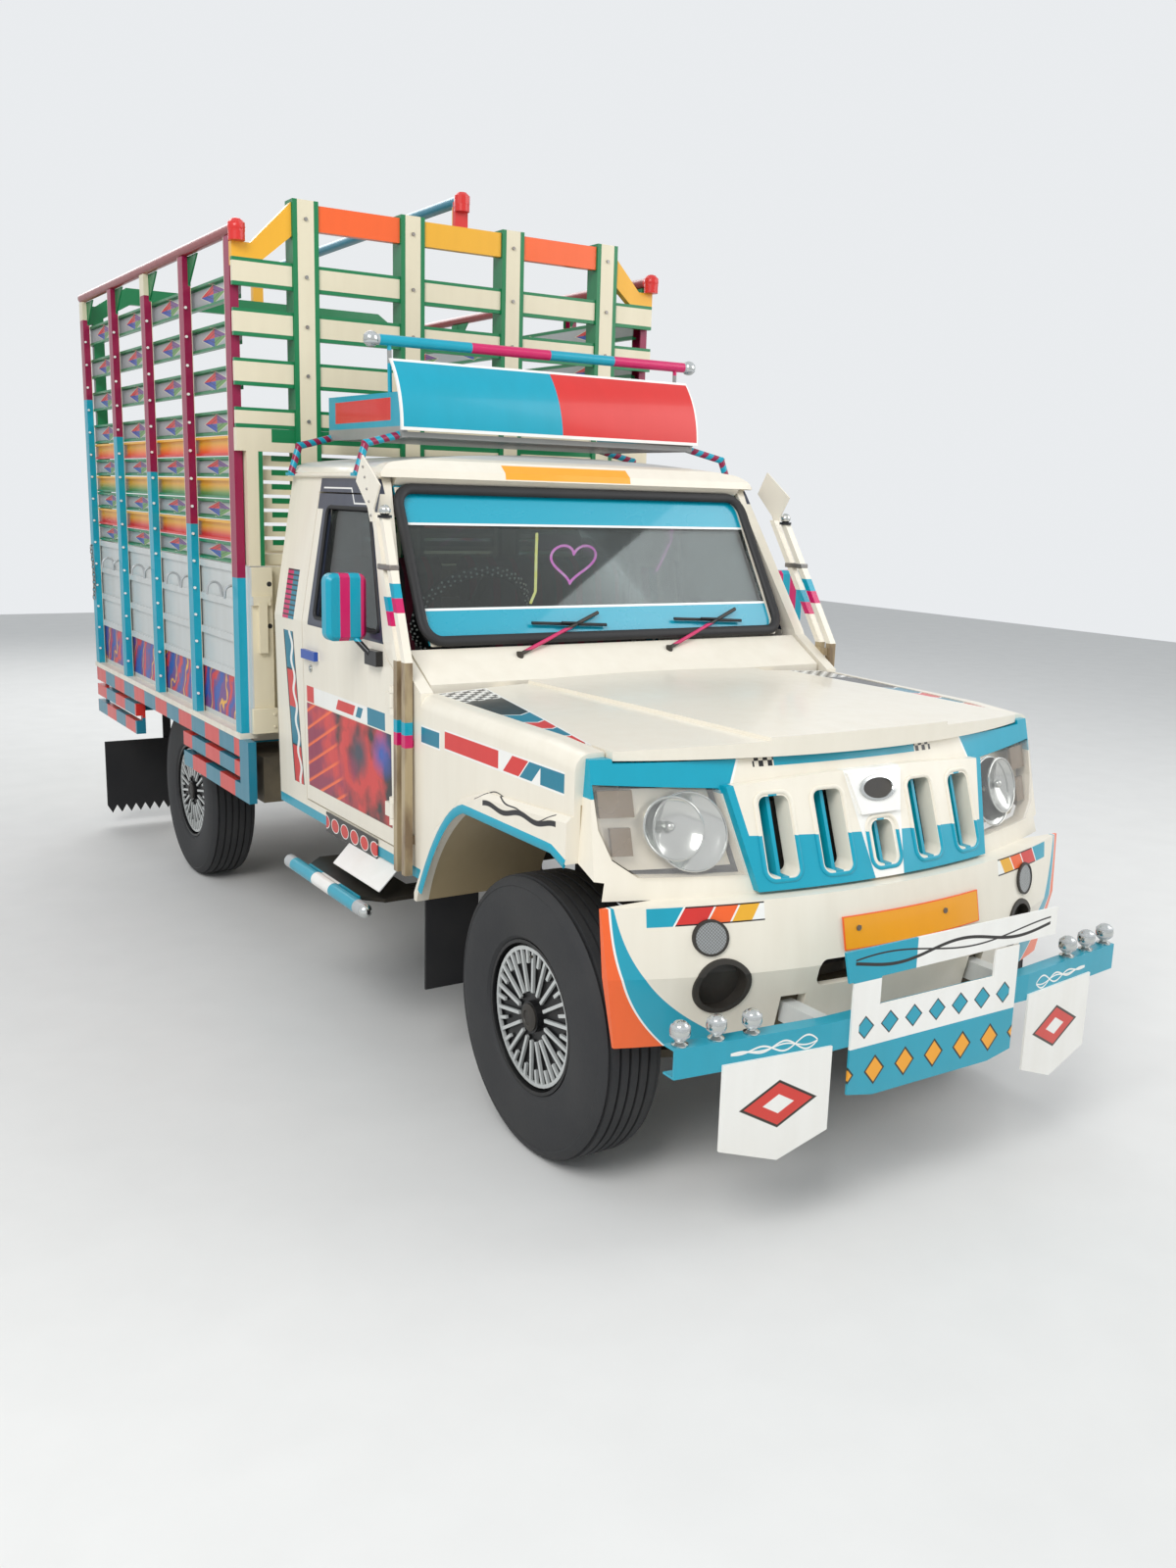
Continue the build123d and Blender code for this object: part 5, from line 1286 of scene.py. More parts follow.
    def grille_trim(self) -> None:
        """Raised rims round the slots and the blank oval badge."""
        rims = Shape()
        for middle in self.slots:
            low, high = 0.817, (1.021 if middle else 0.939)
            left, right = middle - self.slot_half, middle + self.slot_half
            outline = rounded([(left, low), (right, low), (right, high), (left, high)], 0.028)
            rims.tube([NOSE.at(x, z, 0.0245) for x, z in outline], 0.0055, closed=True, sides=10, flat=0.7,
                      up=AHEAD)
        rims.settle("slot_rims", Enamel("rim_paint", Hue.CREAM, self.rim_paint), "cream_paint")
        badge, field_plate = Shape(), Shape()
        spot = (0.0, 1.010)
        badge.shell([NOSE.loop(spot, size, proud, 2.05) for size, proud in
                     ((0.030, 0.0345), (0.030, 0.038), (0.025, 0.039), (0.0235, 0.0345))], closed=True)
        field_plate.shell([NOSE.loop(spot, 0.0236, proud, 2.12) for proud in (0.0344, 0.036)])
        badge.settle("badge_ring", CHROME, "silver_paint")
        field_plate.settle("badge_field", PLASTIC, "black_plastic")

    def rim_paint(self, at: Place) -> list[Zone]:
        """Teal lower parts of the slot rims, as on the grille."""
        split = at.z + at.x * 0.051
        return [(split.below(0.905), Hue.TEAL)]

    def bumper_trim(self) -> None:
        """Round reflectors, blank number plate and its bolts."""
        plate, bolts = Shape(), []
        plate.slab(*(BUMPER.grid(-0.195, 0.290, 0.648, 0.728, proud) for proud in (0.0065, 0.003)))
        plate.settle("number_plate", Enamel("plate_paint", Hue.PLATE, self.number_plate, grime=0.08),
                     "silver_paint")
        rim, field_disc = Shape(), Shape()
        for side in SIDES:
            spot = (side * 0.545, 0.711)
            rim.shell([BUMPER.loop(spot, size, proud) for size, proud in
                       ((0.043, 0.0005), (0.043, 0.007), (0.0375, 0.008), (0.0375, 0.0005))], closed=True)
            field_disc.shell([BUMPER.loop(spot, 0.0374, proud) for proud in (0.0005, 0.006)])
            bolts.append((BUMPER.at(side * 0.150, 0.698, 0.0065), FACING))
        rim.settle("reflector_rims", PLASTIC, "black_plastic")
        field_disc.settle("reflector_fields",
                          Moulded("reflector_mesh", Hue.SILVER, dusty=Hue.GREY, design=self.mesh,
                                  roughness=0.3, metallic=0.8, grain=200.0, depth=0.001), "silver_paint")
        Setting().spread("plate_bolts", bolt_head(0.008, 0.003), bolts, ZINC, "silver_paint")

    def number_plate(self, at: Place) -> list[Zone]:
        """Thin dark border on the blank plate."""
        border = at.z.above(0.7255) | at.z.below(0.6505) | at.x.below(-0.192) | at.x.above(0.287)
        return [(border, Hue.ORANGE)]

    def mesh(self, at: Place) -> list[Zone]:
        """Fine diamond mesh of the reflectors."""
        first, second = (at.x + at.z) % 0.008, (at.x - at.z) % 0.008
        return [(first.below(0.0016, 0.0006) | second.below(0.0016, 0.0006), Hue.GREY)]

    def arch_trim(self) -> None:
        """Teal edge along each front wheel arch."""
        first, middle, last = (Vector((y, z)) for y, z in ((0.548, 0.534), (0.404, 0.777), (0.261, 0.884)))
        curve = []
        for step in range(13):
            share = step / 12
            guide = middle * 2 - (first + last) / 2
            curve.append(first * (1 - share) ** 2 + guide * (2 * share * (1 - share)) + last * share ** 2)
        path = curve + [Vector((y, z))
                        for y, z in ((0.22, 0.8845), (0.0, 0.8845), (-0.17, 0.8845), (-0.195, 0.884),
                                     (-0.22, 0.875), (-0.258, 0.861))]
        trim = Shape()
        for side in SIDES:
            trim.tube([locate(side * 0.802, point.x, point.y) for point in path[1:]], 0.013, sides=8,
                      flat=0.3, up=ACROSS)
        trim.settle("arch_edges", Enamel("arch_edge_paint", Hue.TEAL), "teal_paint")

    def build(self) -> None:
        """Paints the nose and fits its trim."""
        dress(Enamel("nose_paint", Hue.CREAM, self.panel_paint), "nose_panel")
        dress(Enamel("grille_paint", Hue.CREAM, self.grille_paint), "grille")
        dress(Enamel("bumper_paint", Hue.CREAM, self.bumper_paint), "bumper")
        dress(Enamel("fender_paint", Hue.CREAM, self.fender_paint), "fenders")
        dress(Lens("headlamp_lens", (0.965, 0.955, 0.94, 1.0), clear=0.85), "headlamps")
        dress(PLASTIC, "fog_lamp_rings")
        self.lamps()
        self.grille_trim()
        self.bumper_trim()
        self.arch_trim()


# Guard bar, steps, pipes and rack


@dataclass
class Ironwork:
    """Guard bar, side steps, pillar pipes, roof rack and its sign board."""

    guard_z: float = 0.500
    ball_rows: tuple[float, ...] = (0.728, 0.636, 0.544)
    ball_radius: float = 0.0238
    pipe_bend: float = 1.232
    rack_bar: float = 2.140
    rack_half: float = 0.597
    plate_middle: float = 0.43

    def guard_paint(self, at: Place) -> list[Zone]:
        """Chrome ball posts and white swirls on the teal bar."""
        wave = (at.side * 50.0).sine() * (0.63 - at.side) * 0.075
        stub = at.side.below(0.345, CRISP) & at.aft.above(-0.661, CRISP)
        up = at.z - self.guard_z
        lines = (abs(up - wave).below(0.0022) | abs(up + wave).below(0.0022)
                 | abs(up + wave * 0.4).below(0.0018))
        return [(at.side.within(0.378, 0.610) & lines, Hue.WHITE), (stub, Hue.RIB_GREY),
                (at.z.above(0.5358), Hue.SILVER)]

    def plate_paint(self, at: Place) -> list[Zone]:
        """Teal halves of the guard plates, rows of blank lozenges and black swirls."""
        middle = at.side.below(self.plate_middle, SOFT)
        wing = at.z.above(0.622) & at.x.below(-0.085) & middle & at.aft.below(-0.70)
        lower = at.z.below(0.457) & at.side.below(0.29, SOFT)
        board = at.x.fold(0.1) * 30.0 + abs(at.z - 0.392) * 26.0
        band = at.x.fold(0.08) * 34.0 + abs(at.z - 0.506) * 34.0
        pennant = abs(at.side - 0.480) * 9.5 + abs(at.z - 0.362) * 17.0
        hung = at.side.above(0.335, 0.001) & at.z.below(0.463)
        swirl = abs(at.z - (at.x * 15.0 + 0.6).sine() * 0.013 - 0.664)
        hair = abs(at.z + (at.x * 10.0 + 0.4).sine() * 0.016 - 0.668)
        over = at.z.above(0.628) & at.x.within(-0.285, 0.395)
        white = at.z.within(0.470, 0.548) & at.side.below(0.26)
        return [(wing, Hue.TEAL), (lower, Hue.TEAL), (lower & board.below(1.0, 0.04), Hue.INK),
                (lower & board.below(0.82, 0.04), Hue.PLATE), (white & band.below(1.0, 0.04), Hue.INK),
                (white & band.below(0.85, 0.04), Hue.TEAL), (hung & pennant.below(1.0, 0.03), Hue.INK),
                (hung & pennant.below(0.88, 0.03), Hue.RED), (hung & pennant.below(0.40, 0.03), Hue.WHITE),
                (over & swirl.below(0.0042), Hue.INK), (over & hair.below(0.0022), Hue.INK)]

    def step_paint(self, at: Place) -> list[Zone]:
        """White middle and chrome ends on the teal step tube, black plate."""
        tube = at.side.above(0.877, SOFT)
        return [(tube & at.aft.within(0.93, 1.07), Hue.WHITE), (~tube, Hue.BLACK),
                (tube & (at.aft.below(0.74) | at.aft.above(1.26)), Hue.SILVER)]

    def pipe_paint(self, at: Place) -> list[Zone]:
        """Teal and magenta bands on the pillar pipes."""
        lead = at.aft - (at.z - self.pipe_bend).least(0.0) * 0.5833 - 0.600
        front = lead.below(0.039)
        height = at.z - front * 0.040
        worn = at.z.below(self.pipe_bend)
        streak = at.painter.noise(16.0, 4.0, (1, 1, 0.3)).above(0.48, 0.2)
        cap = front & at.z.within(1.6265, 1.6365)
        return [(worn, Hue.BRONZE), (worn & streak, Hue.SAND), (cap, Hue.INK),
                (height.within(1.365, 1.405), Hue.TEAL), (height.within(1.325, 1.365), Hue.MAGENTA),
                (at.z.within(1.025, 1.062), Hue.TEAL), (at.z.within(0.988, 1.025), Hue.MAGENTA)]

    def rack_paint(self, at: Place) -> list[Zone]:
        """Teal and magenta lengths of the cross bar, banded legs and teal side boxes."""
        high = at.z.above(self.rack_bar)
        bar = high & at.side.below(self.rack_half, SOFT)
        magenta = at.x.within(-0.27, 0.03) | at.x.above(0.29)
        ball = high & at.side.above(self.rack_half, SOFT)
        box = at.z.within(1.905, 2.10) & at.side.above(0.554, 0.001)
        inner = at.z.within(1.925, 1.995) & at.aft.within(1.24, 1.70) & box
        leg = at.side.above(0.572, SOFT) & at.z.below(1.895)
        ring = ((at.side + at.z * -1.0) % 0.05).below(0.025)
        return [(bar, Hue.TEAL), (bar & magenta, Hue.MAGENTA), (ball, Hue.SILVER), (box, Hue.TEAL),
                (inner, Hue.RED), (leg, Hue.TEAL), (leg & ring, Hue.MAROON)]

    def board_paint(self, at: Place) -> list[Zone]:
        """Teal and red halves with a white edge."""
        red = (at.x + (at.z - 1.9) * 0.052).above(0.012)
        rim = at.z.below(1.902) | at.z.above(2.104) | at.side.above(0.572)
        return [(red, Hue.RED), (rim, Hue.WHITE)]

    def build(self) -> None:
        """Paints the ironwork."""
        dress(Enamel("guard_paint", Hue.TEAL, self.guard_paint), "guard_bar")
        dress(Enamel("guard_plate_paint", Hue.WHITE, self.plate_paint), "guard_plates")
        dress(Enamel("step_paint", Hue.TEAL, self.step_paint), "side_steps")
        dress(Enamel("pillar_pipe_paint", Hue.CREAM, self.pipe_paint), "pillar_pipes")
        dress(Enamel("rack_paint", Hue.STEEL, self.rack_paint), "sign_rack")
        dress(Enamel("board_paint", Hue.TEAL, self.board_paint), "sign_board")
        self.finials()
        self.clamps()

    def finials(self) -> None:
        """Turned chrome balls over the guard bar's and the rack's ball ends, and the pillar pipes' balls."""
        turned = [(0.0, 0.0004), (0.0, 0.019), (0.004, 0.0195), (0.006, 0.015), (0.009, 0.0105),
                  (0.012, 0.0100)]
        turned += [(0.034 - self.ball_radius * math.cos(angle), self.ball_radius * math.sin(angle))
                   for angle in (math.radians(25 + 15 * step) for step in range(11))]
        turned += [(0.0578, 0.0004)]
        knob = Shape()
        knob.lathe(turned, ORIGIN, UP, 28)
        spots = []
        for side in SIDES:
            for x in self.ball_rows:
                reach = 0.702 - 0.050 * (x - 0.340) / 0.413
                spots.append((locate(side * x, 0.020 - reach, 0.5352), FLAT))
        Setting().spread("guard_balls", knob, spots, CHROME, "silver_paint")
        balls, ends = Shape(), Shape()
        for side in SIDES:
            balls.ball(locate(side * 0.764, 0.844, 1.648), 0.0172, 24)
            balls.ball(locate(side * 0.622, 1.263, 2.170), 0.0250, 24)
            for distance in (0.692, 1.308):
                ends.ball(locate(side * 0.900, distance, 0.492), 0.0219, 20)
        balls.settle("pipe_balls", CHROME, "silver_paint")
        ends.settle("step_ends", CHROME, "silver_paint")
        stud = Shape()
        stud.ball(ORIGIN, 0.0042, 8)
        studs = [(locate(side * 0.7805, y, z), FLAT) for side in SIDES
                 for y, z in ((0.906, 1.632), (0.920, 1.672), (0.935, 1.708), (0.950, 1.742), (0.962, 1.772))]
        Setting().spread("spear_studs", stud, studs, ZINC, "silver_paint")

    def clamps(self) -> None:
        """Clamp that ties each pair of pillar pipes together."""
        shape = Shape()
        for side in SIDES:
            low = locate(side * 0.7632, 0.7445, 1.480)
            high = locate(side * 0.7935, 0.8345, 1.496)
            shape.box(Vector((min(low.x, high.x), low.y, low.z)),
                      Vector((max(low.x, high.x), high.y, high.z)))
        shape.settle("pipe_clamps", ZINC, "silver_paint", bevel=0.003)


# Load bed and cage


@dataclass
class Cage:
    """Bed walls, cage posts, slats, headboard, pipes, rails and tailgate."""

    bed_front: float = 1.890
    post_pitch: float = 0.5475
    post_width: float = 0.062
    bolt_rows: int = 15
    bolt_foot: float = 0.896
    bolt_pitch: float = 0.104
    lozenge_half: float = 0.150
    lozenge_core: float = 0.074
    board_foot: float = 1.826
    chain_aft: float = 4.098
    links: int = 14
    board_posts: tuple[float, ...] = (-0.606, -0.200, 0.215, 0.640)
    changeovers: tuple[float, ...] = (1.385, 1.557, 1.752, 1.905, 2.088)
    rows: Rows = (
        (2.338, 2.423), (2.187, 2.272), (2.036, 2.121), (1.885, 1.970), (1.812, 1.881), (1.736, 1.808),
        (1.660, 1.732), (1.584, 1.656), (1.506, 1.580), (1.429, 1.502))

    def post_paint(self, at: Place) -> list[Zone]:
        """Maroon above teal, changing lower from post to post, with cream edges and caps."""
        zones = []
        for number, height in enumerate(self.changeovers):
            start = self.bed_front + number * self.post_pitch
            here = at.aft.within(start - 0.02, start + self.post_width + 0.02, SOFT)
            zones.append((here & at.z.above(height, SOFT), Hue.MAROON))
        offset = (at.aft - self.bed_front) % self.post_pitch
        edge = at.side.below(0.838, 0.0004) & at.aft.above(2.0)
        gusset = at.z.above(2.43, SOFT) & at.side.below(0.846, 0.001)
        caps = (at.aft.above(4.0) | at.aft.within(2.95, 3.1)) & at.z.above(2.452)
        return zones + [(edge, Hue.CAGE_CREAM),
                        (offset.within(0.0585, 0.070), Hue.CAGE_CREAM), (caps, Hue.CAGE_CREAM),
                        (gusset, Hue.GREEN)]

    def slat_paint(self, at: Place) -> list[Zone]:
        """Silver slats with green edges and lozenges, and banded rows between them."""
        zones: list[Zone] = []
        middle_bay = (self.post_pitch - self.post_width) / 2 + 0.02
        bay = (at.aft - self.bed_front - self.post_width) % self.post_pitch - middle_bay
        across = abs(bay)
        for number, (low, high) in enumerate(self.rows):
            middle, half = (low + high) / 2, (high - low) / 2
            here = at.z.within(low - 0.002, high + 0.002, 0.001)
            up = at.z - middle
            if number in (4, 6, 8):
                tops = {4: (Hue.YELLOW, Hue.ORANGE), 6: (Hue.YELLOW, Hue.LEAF),
                        8: (Hue.YELLOW, Hue.RED)}[number]
                zones += [(here, tops[0]), (here & up.below(-0.004, 0.03), tops[1]),
                          (here & up.below(-half + 0.010, 0.008), Hue.RED if number != 6 else Hue.GREEN)]
                continue
            reach = abs(up) * (self.lozenge_half / (half * 0.80)) + across
            diamond = reach.below(self.lozenge_half, 0.003) & here
            left, upper = bay.below(0.0, SOFT), up.above(0.0, SOFT)
            quarters = [(left & upper, Hue.VIOLET), (~left & upper, Hue.RED), (left & ~upper, Hue.LEAF),
                        (~left & ~upper, Hue.BLUE)]
            zones.append((here & abs(up).above(half - 0.014, 0.003), Hue.GREEN))
            zones += [(diamond & mask, hue) for mask, hue in quarters]
            zones.append((diamond & abs(reach - self.lozenge_core).below(0.005, SOFT), Hue.DARK))
            zones.append((here & abs(reach - self.lozenge_half).below(0.005, SOFT), Hue.CAGE_CREAM))
        return zones

    def end_paint(self, at: Place) -> list[Zone]:
        """Headboard posts, slats, louvres and sloped beam, and the green rear header."""
        front = at.aft.below(2.2, 0.01)
        beam = at.z.above(2.50, SOFT) & front
        slope = at.side.above(0.62, SOFT) & at.z.above(2.43, SOFT) & front
        zones = [(front & at.z.below(1.83, 0.001), Hue.CAGE_CREAM), (beam, Hue.ORANGE),
                 (beam & at.x.within(-0.15, 0.165, SOFT), Hue.YELLOW), (slope, Hue.YELLOW)]
        for low, high in ((2.372, 2.462), (2.209, 2.299), (2.046, 2.136), (1.905, 1.973)):
            slat = at.z.within(low - 0.001, high + 0.001, CRISP) & front & at.aft.below(1.8795, CRISP)
            zones += [(slat, Hue.CAGE_CREAM),
                      (slat & (at.z.below(low + 0.013) | at.z.above(high - 0.011)), Hue.GREEN)]
        band = at.z.within(self.board_foot, 1.904) & front & at.aft.below(1.8895, CRISP)
        zones += [(band, Hue.CAGE_CREAM), (band & at.z.above(1.858) & at.side.below(0.74), Hue.GREEN)]
        louvre = (at.z - 1.433) % 0.0491
        field = at.z.within(1.50, self.board_foot) & at.side.below(0.73) & front & at.aft.above(1.893, 0.001)
        zones += [(field & louvre.above(0.018, SOFT), Hue.GREEN)]
        stile = at.side.within(0.774, 0.80, 0.001) & at.z.below(self.board_foot) & front
        zones.append((stile & at.side.below(0.79), Hue.GREEN))
        for x in self.board_posts:
            near = abs(at.x - x)
            post = near.below(0.0475, 0.0004) & front & at.aft.below(1.8595, CRISP)
            flank = near.within(0.040, 0.049) & front & at.z.above(1.83)
            zones += [(post, Hue.CAGE_CREAM), (post & near.above(0.030), Hue.GREEN), (flank, Hue.GREEN)]
        return zones

    def pipe_paint(self, at: Place) -> list[Zone]:
        """Dark red side pipes and a teal ridge, with bright red ends and yellow saddles."""
        ridge = at.side.below(0.05, 0.005)
        elbow = at.aft.below(1.882, 0.001)
        saddle = ridge & at.z.below(2.729, 0.001)
        return [(ridge, Hue.DEEP_TEAL), (saddle, Hue.YELLOW), (elbow, Hue.RED)]

    def rail_paint(self, at: Place) -> list[Zone]:
        """Teal rails with red blocks."""
        row = at.z.below(0.645, 0.001) * 0.18
        block = (at.aft + row) % 0.36
        skip = at.aft.above(1.92, 0.001)
        return [(block.below(0.18, 0.001) & skip, Hue.RED),
                (at.z.above(0.797) | (at.side.below(0.8655, 0.0004) & at.aft.below(1.83)), Hue.DEEP_TEAL)]

    def wall_paint(self, at: Place) -> list[Zone]:
        """Pressed side walls with a printed strip along their foot."""
        side = at.side.above(0.826, 0.001)
        strip = at.z.within(0.843, 1.006) & at.side.above(0.82, 0.001) & at.aft.above(1.93, 0.001)
        painter = at.painter
        wave = painter.noise(7.0, 2.0)
        petal = ((at.aft * 6.0 + at.z * 3.0) + wave * 1.6) % 1.0
        return [(side, Hue.RIB_GREY), (strip, Hue.VIOLET), (strip & petal.within(0.0, 0.25, 0.05), Hue.BLUE),
                (strip & petal.within(0.42, 0.60, 0.05), Hue.RED),
                (strip & petal.within(0.72, 0.80, 0.04), Hue.YELLOW)]

    def build(self) -> None:
        """Paints bed and cage and fits their hooks, bolts and chain."""
        dress(Enamel("post_paint", Hue.TEAL, self.post_paint, roughness=0.42), "cage_posts")
        dress(Enamel("slat_paint", Hue.SILVER, self.slat_paint, roughness=0.42), "cage_slats")
        dress(Enamel("cage_end_paint", Hue.GREEN, self.end_paint, roughness=0.4), "cage_ends")
        dress(Enamel("cage_pipe_paint", Hue.PIPE_RED, self.pipe_paint), "cage_pipes")
        dress(Enamel("rail_paint", Hue.DEEP_TEAL, self.rail_paint), "lower_rails")
        dress(Enamel("wall_paint", Hue.CAGE_CREAM, self.wall_paint, roughness=0.42), "bed_walls")
        dress(Enamel("tailgate_paint", Hue.CAGE_CREAM, roughness=0.42), "tailgate")
        dress(Enamel("bed_floor_paint", Hue.CREAM, roughness=0.5, grime=0.3), "bed_floor")
        dress(Lens("tail_lamp_lens", (0.6, 0.02, 0.02, 1.0), clear=0.2), "tail_lamps")
        dress(FLAP, "mudflaps")
        self.elbows()
        self.hardware()
        self.chains()

    def elbows(self) -> None:
        """Round caps over the elbows of the side pipes and the ridge."""
        side_caps, ridge_cap = Shape(), Shape()
        for side in SIDES:
            side_caps.ball(locate(side * 0.851, 1.850, 2.554), 0.0298, 24)
        ridge_cap.ball(locate(0, 1.860, 2.752), 0.0261, 24)
        for caps, name in ((side_caps, "side_elbows"), (ridge_cap, "ridge_elbow")):
            caps.settle(name, Enamel("elbow_red", Hue.RED), "red_paint")

    def hardware(self) -> None:
        """Rope hooks under the rim, bolts up the side and headboard posts, the latch posts' feet, and black
        discs as painted shade for the latch posts' holes.
        """
        hook = Shape()
        bend = [(0.0, 0.0), (0.006, 0.020), (0.010, 0.042)]
        bend += [(0.0345 - 0.0245 * math.cos(angle), 0.042 + 0.022 * math.sin(angle)) for angle in
                 (math.radians(20 * step) for step in range(1, 10))]
        bend += [(0.0600, 0.030), (0.0620, 0.018)]
        hook.tube([Vector((x, 0, z)) for x, z in bend], 0.0048, sides=8, up=-AHEAD)
        spots, bolts = [], []
        for side in SIDES:
            turn = UP * (0 if side > 0 else math.pi)
            for number in range(5):
                start = self.bed_front + number * self.post_pitch
                if number < 4:
                    spots += [(locate(side * 0.8275, start + step, 1.288), turn) for step in (0.080, 0.290)]
                if number:
                    bolts += [(locate(side * 0.8595, start - 0.0005, self.bolt_foot + self.bolt_pitch * row),
                               FACING) for row in range(self.bolt_rows)]
        Setting().spread("rope_hooks", hook, spots, Enamel("hook_paint", Hue.SILVER, metallic=0.4),
                         "silver_paint")
        head = bolt_head(0.0055, 0.007)
        Setting().spread("post_bolts", head, bolts, Enamel("bolt_paint", Hue.WHITE), "cage_cream_paint")
        screws = [(locate(x, 1.8525, z), FACING) for x in self.board_posts
                  for z in (1.935, 2.090, 2.255, 2.420, 2.610)]
        Setting().spread("headboard_bolts", bolt_head(0.0065, 0.006, 8), screws, ZINC, "silver_paint")
        feet, hole_shades = Shape(), Shape()
        for side in SIDES:
            inner, outer = sorted((side * 0.744, side * 0.838))
            feet.box(locate(inner, 1.838, 0.826), locate(outer, 1.8562, 0.918))
            for x, z in ((0.757, 0.850), (0.757, 0.895)):
                feet.disc(locate(side * x, 1.8385, z), AHEAD, 0.006, 0.004, 12)
            # Black discs on each latch post are painted shade where its holes are.
            for z in (1.365, 1.215):
                hole_shades.disc(locate(side * 0.762, 1.8565, z), AHEAD, 0.009, 0.001, 20)
        feet.settle("latch_feet", Enamel("latch_foot_paint", Hue.CAGE_CREAM), "cage_cream_paint", bevel=0.003)
        hole_shades.settle("latch_holes", RUBBER, "black_plastic")

    def chains(self) -> None:
        """Chain that hangs at each rear corner post."""
        link = Shape()
        path = [Vector((0, 0.0065 * math.cos(turn), 0.0125 * math.sin(turn))) for turn in turns(16)]
        link.tube(path, 0.0022, closed=True, sides=6, up=ACROSS)
        spots = []
        for side in SIDES:
            for number in range(self.links):
                share = number / (self.links - 1)
                hang = locate(side * 0.8755, self.chain_aft - 0.030 * math.sin(share * 2.6),
                              1.388 - 0.240 * share)
                spots.append((hang, UP * (math.pi / 4 if number % 2 else -math.pi / 4)))
        Setting().spread("corner_chains", link, spots, ZINC, "silver_paint")
        eyes = Shape()
        for side in SIDES:
            bent = ((0.864, 1.398), (0.874, 1.403), (0.879, 1.396))
            eyes.tube([locate(side * x, self.chain_aft, z) for x, z in bent], 0.003, sides=6, up=-AHEAD)
        eyes.settle("chain_eyes", ZINC, "silver_paint")


# Underside and seats


@dataclass
class Underside:
    """Frame, axles, springs and boxes."""

    def build(self) -> None:
        """Gives the underside its finishes."""
        dress(CHASSIS, "chassis_frame", "front_axle", "rear_axle", "leaf_springs", "underbody_boxes")
        dress(CASTING, "engine_block", "knuckle_left", "knuckle_right")


@dataclass
class Seats:
    """Driver's seat and passenger bench: padded cushions and backs in woven cloth."""

    wall: float = 0.650
    voxel: float = 0.016
    inset: float = 0.010
    rise: float = 0.014
    pressure: float = 4.0
    frames: int = 20
    channel: float = 0.115
    cushion: Rows = (
        (1.120, 0.850), (1.600, 0.850), (1.600, 0.930), (1.560, 0.955), (1.150, 0.985), (1.120, 0.960))
    back: Rows = (
        (1.600, 0.850), (1.656, 0.850), (1.700, 1.480), (1.640, 1.500), (1.600, 1.470), (1.540, 0.990),
        (1.560, 0.956),
        (1.600, 0.931))

    def blocks(self) -> bpy.types.Mesh:
        """The four pads as plain blocks, a little smaller than the seats' solids."""
        shape = Shape()
        for x0, x1 in ((-self.wall, -0.180), (-0.120, self.wall)):
            for outline in (self.cushion, self.back):
                centre = Vector((sum(y for y, _ in outline), sum(z for _, z in outline))) / len(outline)
                ring = []
                for y, z in outline:
                    point = Vector((y, z))
                    point += (centre - point).normalized() * self.inset
                    ring.append(locate(x0 + self.inset, point.x, point.y))
                shape.prism(ring, Vector((x1 - x0 - 2 * self.inset, 0, 0)))
        return shape.data("seat_blocks")

    def applied(self, data: bpy.types.Mesh, kind: str, settings: Callable[[bpy.types.Modifier], None],
                frames: int = 1) -> bpy.types.Mesh:
        """Mesh after one modifier, stepped through some frames."""
        carrier = put("seat_carrier", data)
        settings(carrier.modifiers.new("seat_work", kind))
        for frame_number in range(1, frames + 1):
            bpy.context.scene.frame_set(frame_number)
        bpy.context.view_layer.update()
        done = bpy.data.meshes.new_from_object(carrier.evaluated_get(bpy.context.evaluated_depsgraph_get()))
        bpy.data.objects.remove(carrier)
        bpy.context.scene.frame_set(1)
        return done

    def remesh(self, modifier: bpy.types.Modifier) -> None:
        """Even voxel mesh."""
        modifier.mode, modifier.voxel_size = "VOXEL", self.voxel

    def swell(self, modifier: bpy.types.Modifier) -> None:
        """Cloth blown up by pressure, without gravity."""
        settings = modifier.settings
        settings.use_pressure, settings.uniform_pressure_force = True, self.pressure
        settings.effector_weights.gravity = 0.0

    def build(self) -> None:
        """Makes the padded seats."""
        start = self.applied(self.blocks(), "REMESH", self.remesh)
        data = start.copy()
        data = self.applied(start.copy(), "CLOTH", self.swell, self.frames)
        for vertex, before in zip(data.vertices, start.vertices):
            move = vertex.co - before.co
            if move.length > self.rise:
                vertex.co = before.co + move.normalized() * self.rise
        normals = [vertex.normal.copy() for vertex in data.vertices]
        for vertex, normal in zip(data.vertices, normals):
            if max(normal.z, -normal.y) > 0.5:
                seam = abs((vertex.co.x + self.channel / 2) % self.channel - self.channel / 2)
                vertex.co -= normal * 0.009 * math.exp(-((seam / 0.013) ** 2))
        pads = settle("seat_pads", data, Weave("seat_cloth", Hue.FABRIC, Hue.MAROON),
                      angle=180, subdivide=1)
        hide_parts("seats")


# Stage


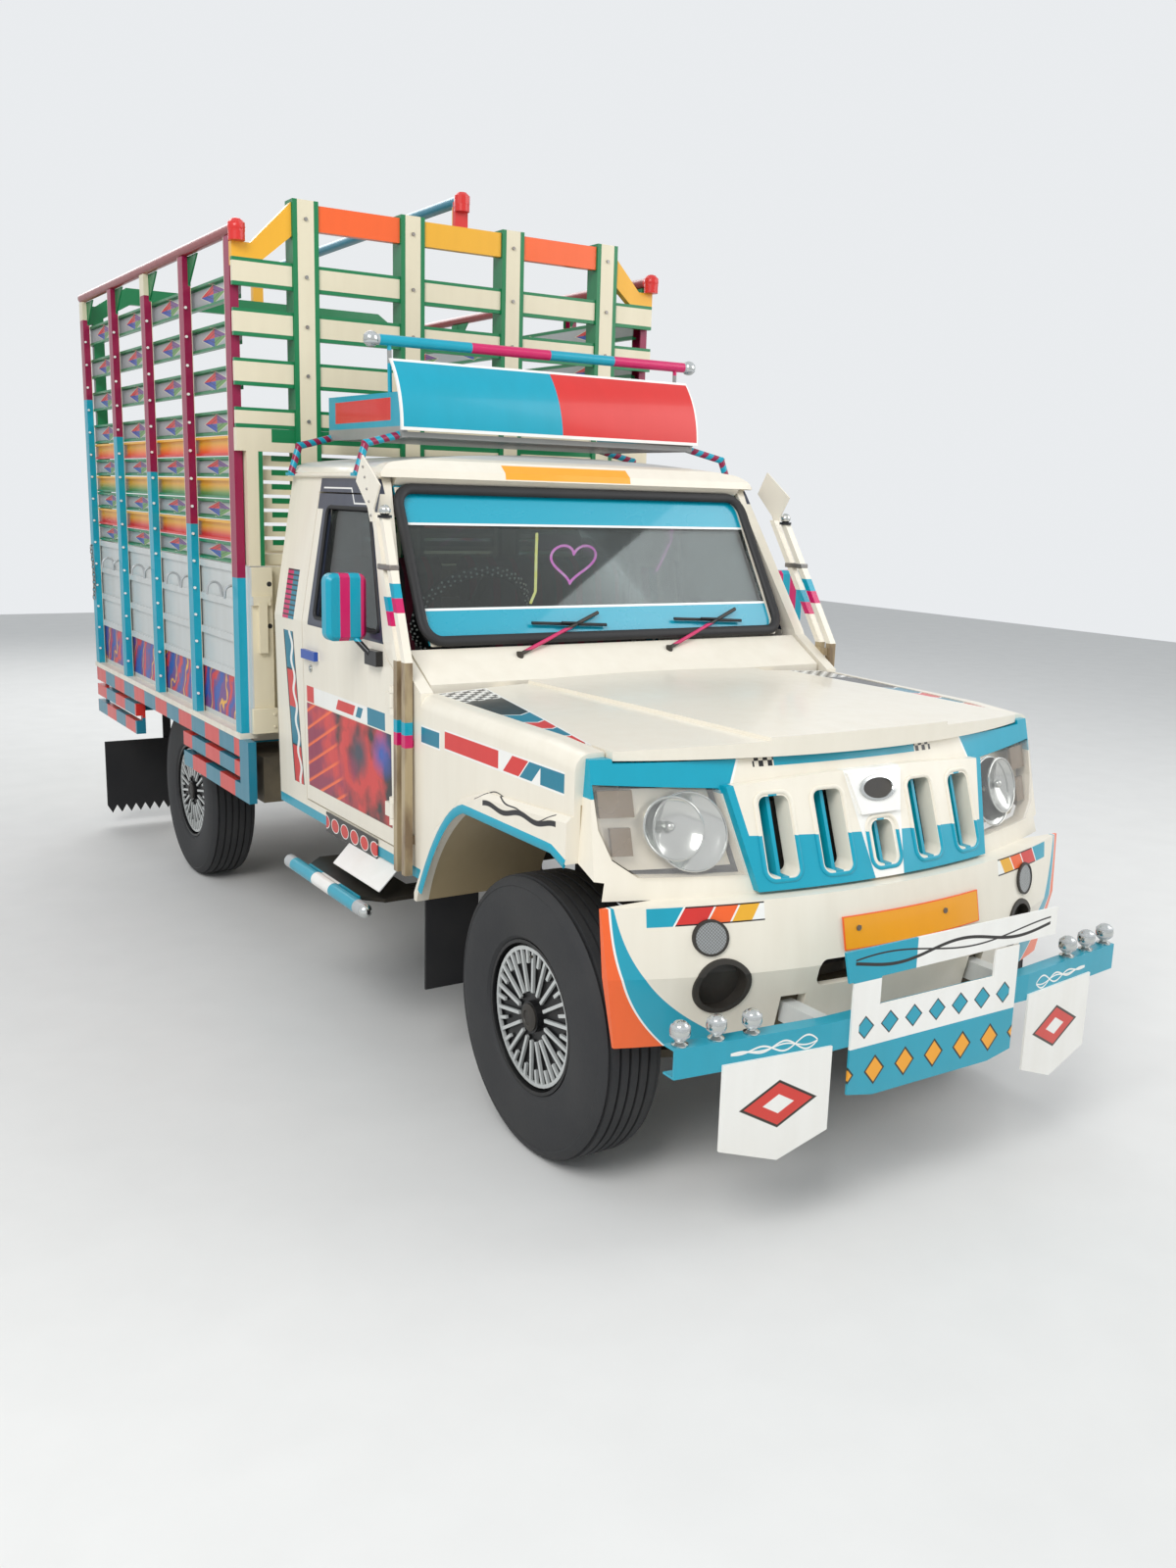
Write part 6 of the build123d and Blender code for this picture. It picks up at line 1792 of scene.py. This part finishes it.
@dataclass
class Stage:
    """Floor, light, background and camera."""

    eye: tuple[float, float, float] = (-2.397, -4.540, 1.707)
    yaw: float = 32.861
    pitch: float = -12.195
    roll: float = 1.675
    lens: float = 30.616
    key_power: float = 420.0
    sky: float = 0.62
    lamps: tuple[tuple[str, tuple[float, float, float], float, float], ...] = (
        ("key_light", (-5.5, -5.0, 6.5), 4.0, 1.0), ("fill_light", (5.5, -4.5, 4.5), 5.0, 0.45),
        ("rear_light", (1.0, 7.5, 6.0), 5.0, 0.55))

    def floor(self) -> None:
        """Pale floor with a faint mottle."""
        shape = Shape()
        shape.box(Vector((-14, -14, -0.05)), Vector((14, 14, 0)))
        floor = put("floor", shape.data("floor"))
        floor.data.materials.append(material_of(
            Moulded("floor_grey", Hue.FLOOR, dusty=Hue.STEEL, roughness=0.85, grain=30.0, depth=0.0006,
                    dust=0.06)))

    def world(self) -> None:
        """Soft grey sky that the camera, mirrors and glass see as a pale background."""
        painter = Painter("pale_sky", sky=True)
        rays = painter.add("LightPath").outputs
        camera, glossy, through = (
            Value(painter, rays[f"Is {kind} Ray"]) for kind in ("Camera", "Glossy", "Transmission"))
        light = painter.shader("Background", {"Color": (0.90, 0.95, 1.0, 1.0), "Strength": self.sky})
        back = painter.shader("Background", {"Color": (0.82, 0.84, 0.86, 1.0)})
        mixed = painter.shader("MixShader", {0: camera | glossy | through, 1: light, 2: back})
        bpy.context.scene.world = painter.close(mixed, "OutputWorld")

    def lamp(self, name: str, where: tuple[float, float, float], size: float, power: float) -> None:
        """Soft square lamp that looks at the truck's middle."""
        data = bpy.data.lights.new(name, "AREA")
        data.size, data.energy = size, power
        lamp = put(name, data)
        lamp.location = where
        lamp.rotation_euler = (UP - Vector(where)).to_track_quat("-Z", "Y").to_euler()

    def camera(self) -> None:
        """Camera at the photograph's at."""
        yaw, pitch, roll = (math.radians(angle) for angle in (self.yaw, self.pitch, self.roll))
        ahead = Vector((math.sin(yaw) * math.cos(pitch), math.cos(yaw) * math.cos(pitch), math.sin(pitch)))
        right = Vector((math.cos(yaw), -math.sin(yaw), 0))
        up = right.cross(ahead)
        across = right * math.cos(roll) + up * math.sin(roll)
        over = up * math.cos(roll) - right * math.sin(roll)
        data = bpy.data.cameras.new("camera")
        data.lens, data.sensor_width, data.sensor_fit = self.lens, 36, "AUTO"
        camera = put("camera", data)
        turn = Matrix((across, over, -ahead)).transposed().to_4x4()
        camera.matrix_world = Matrix.Translation(self.eye) @ turn
        bpy.context.scene.camera = camera

    def build(self) -> None:
        """Sets the stage."""
        bpy.context.scene.view_settings.view_transform = "Standard"
        self.floor()
        self.world()
        for name, where, size, share in self.lamps:
            self.lamp(name, where, size, self.key_power * share)
        self.camera()


def main() -> None:
    """Builds every part of the scene in order."""
    logging.basicConfig(level=logging.INFO, format="%(name)s: %(message)s")
    for part in (Stage(), Underside(), RoadWheels(), Cab(), Nose(), Ironwork(), Cage(), Seats()):
        part.build()
        log.info("%s done", type(part).__name__)


if __name__ == "__main__":
    main()
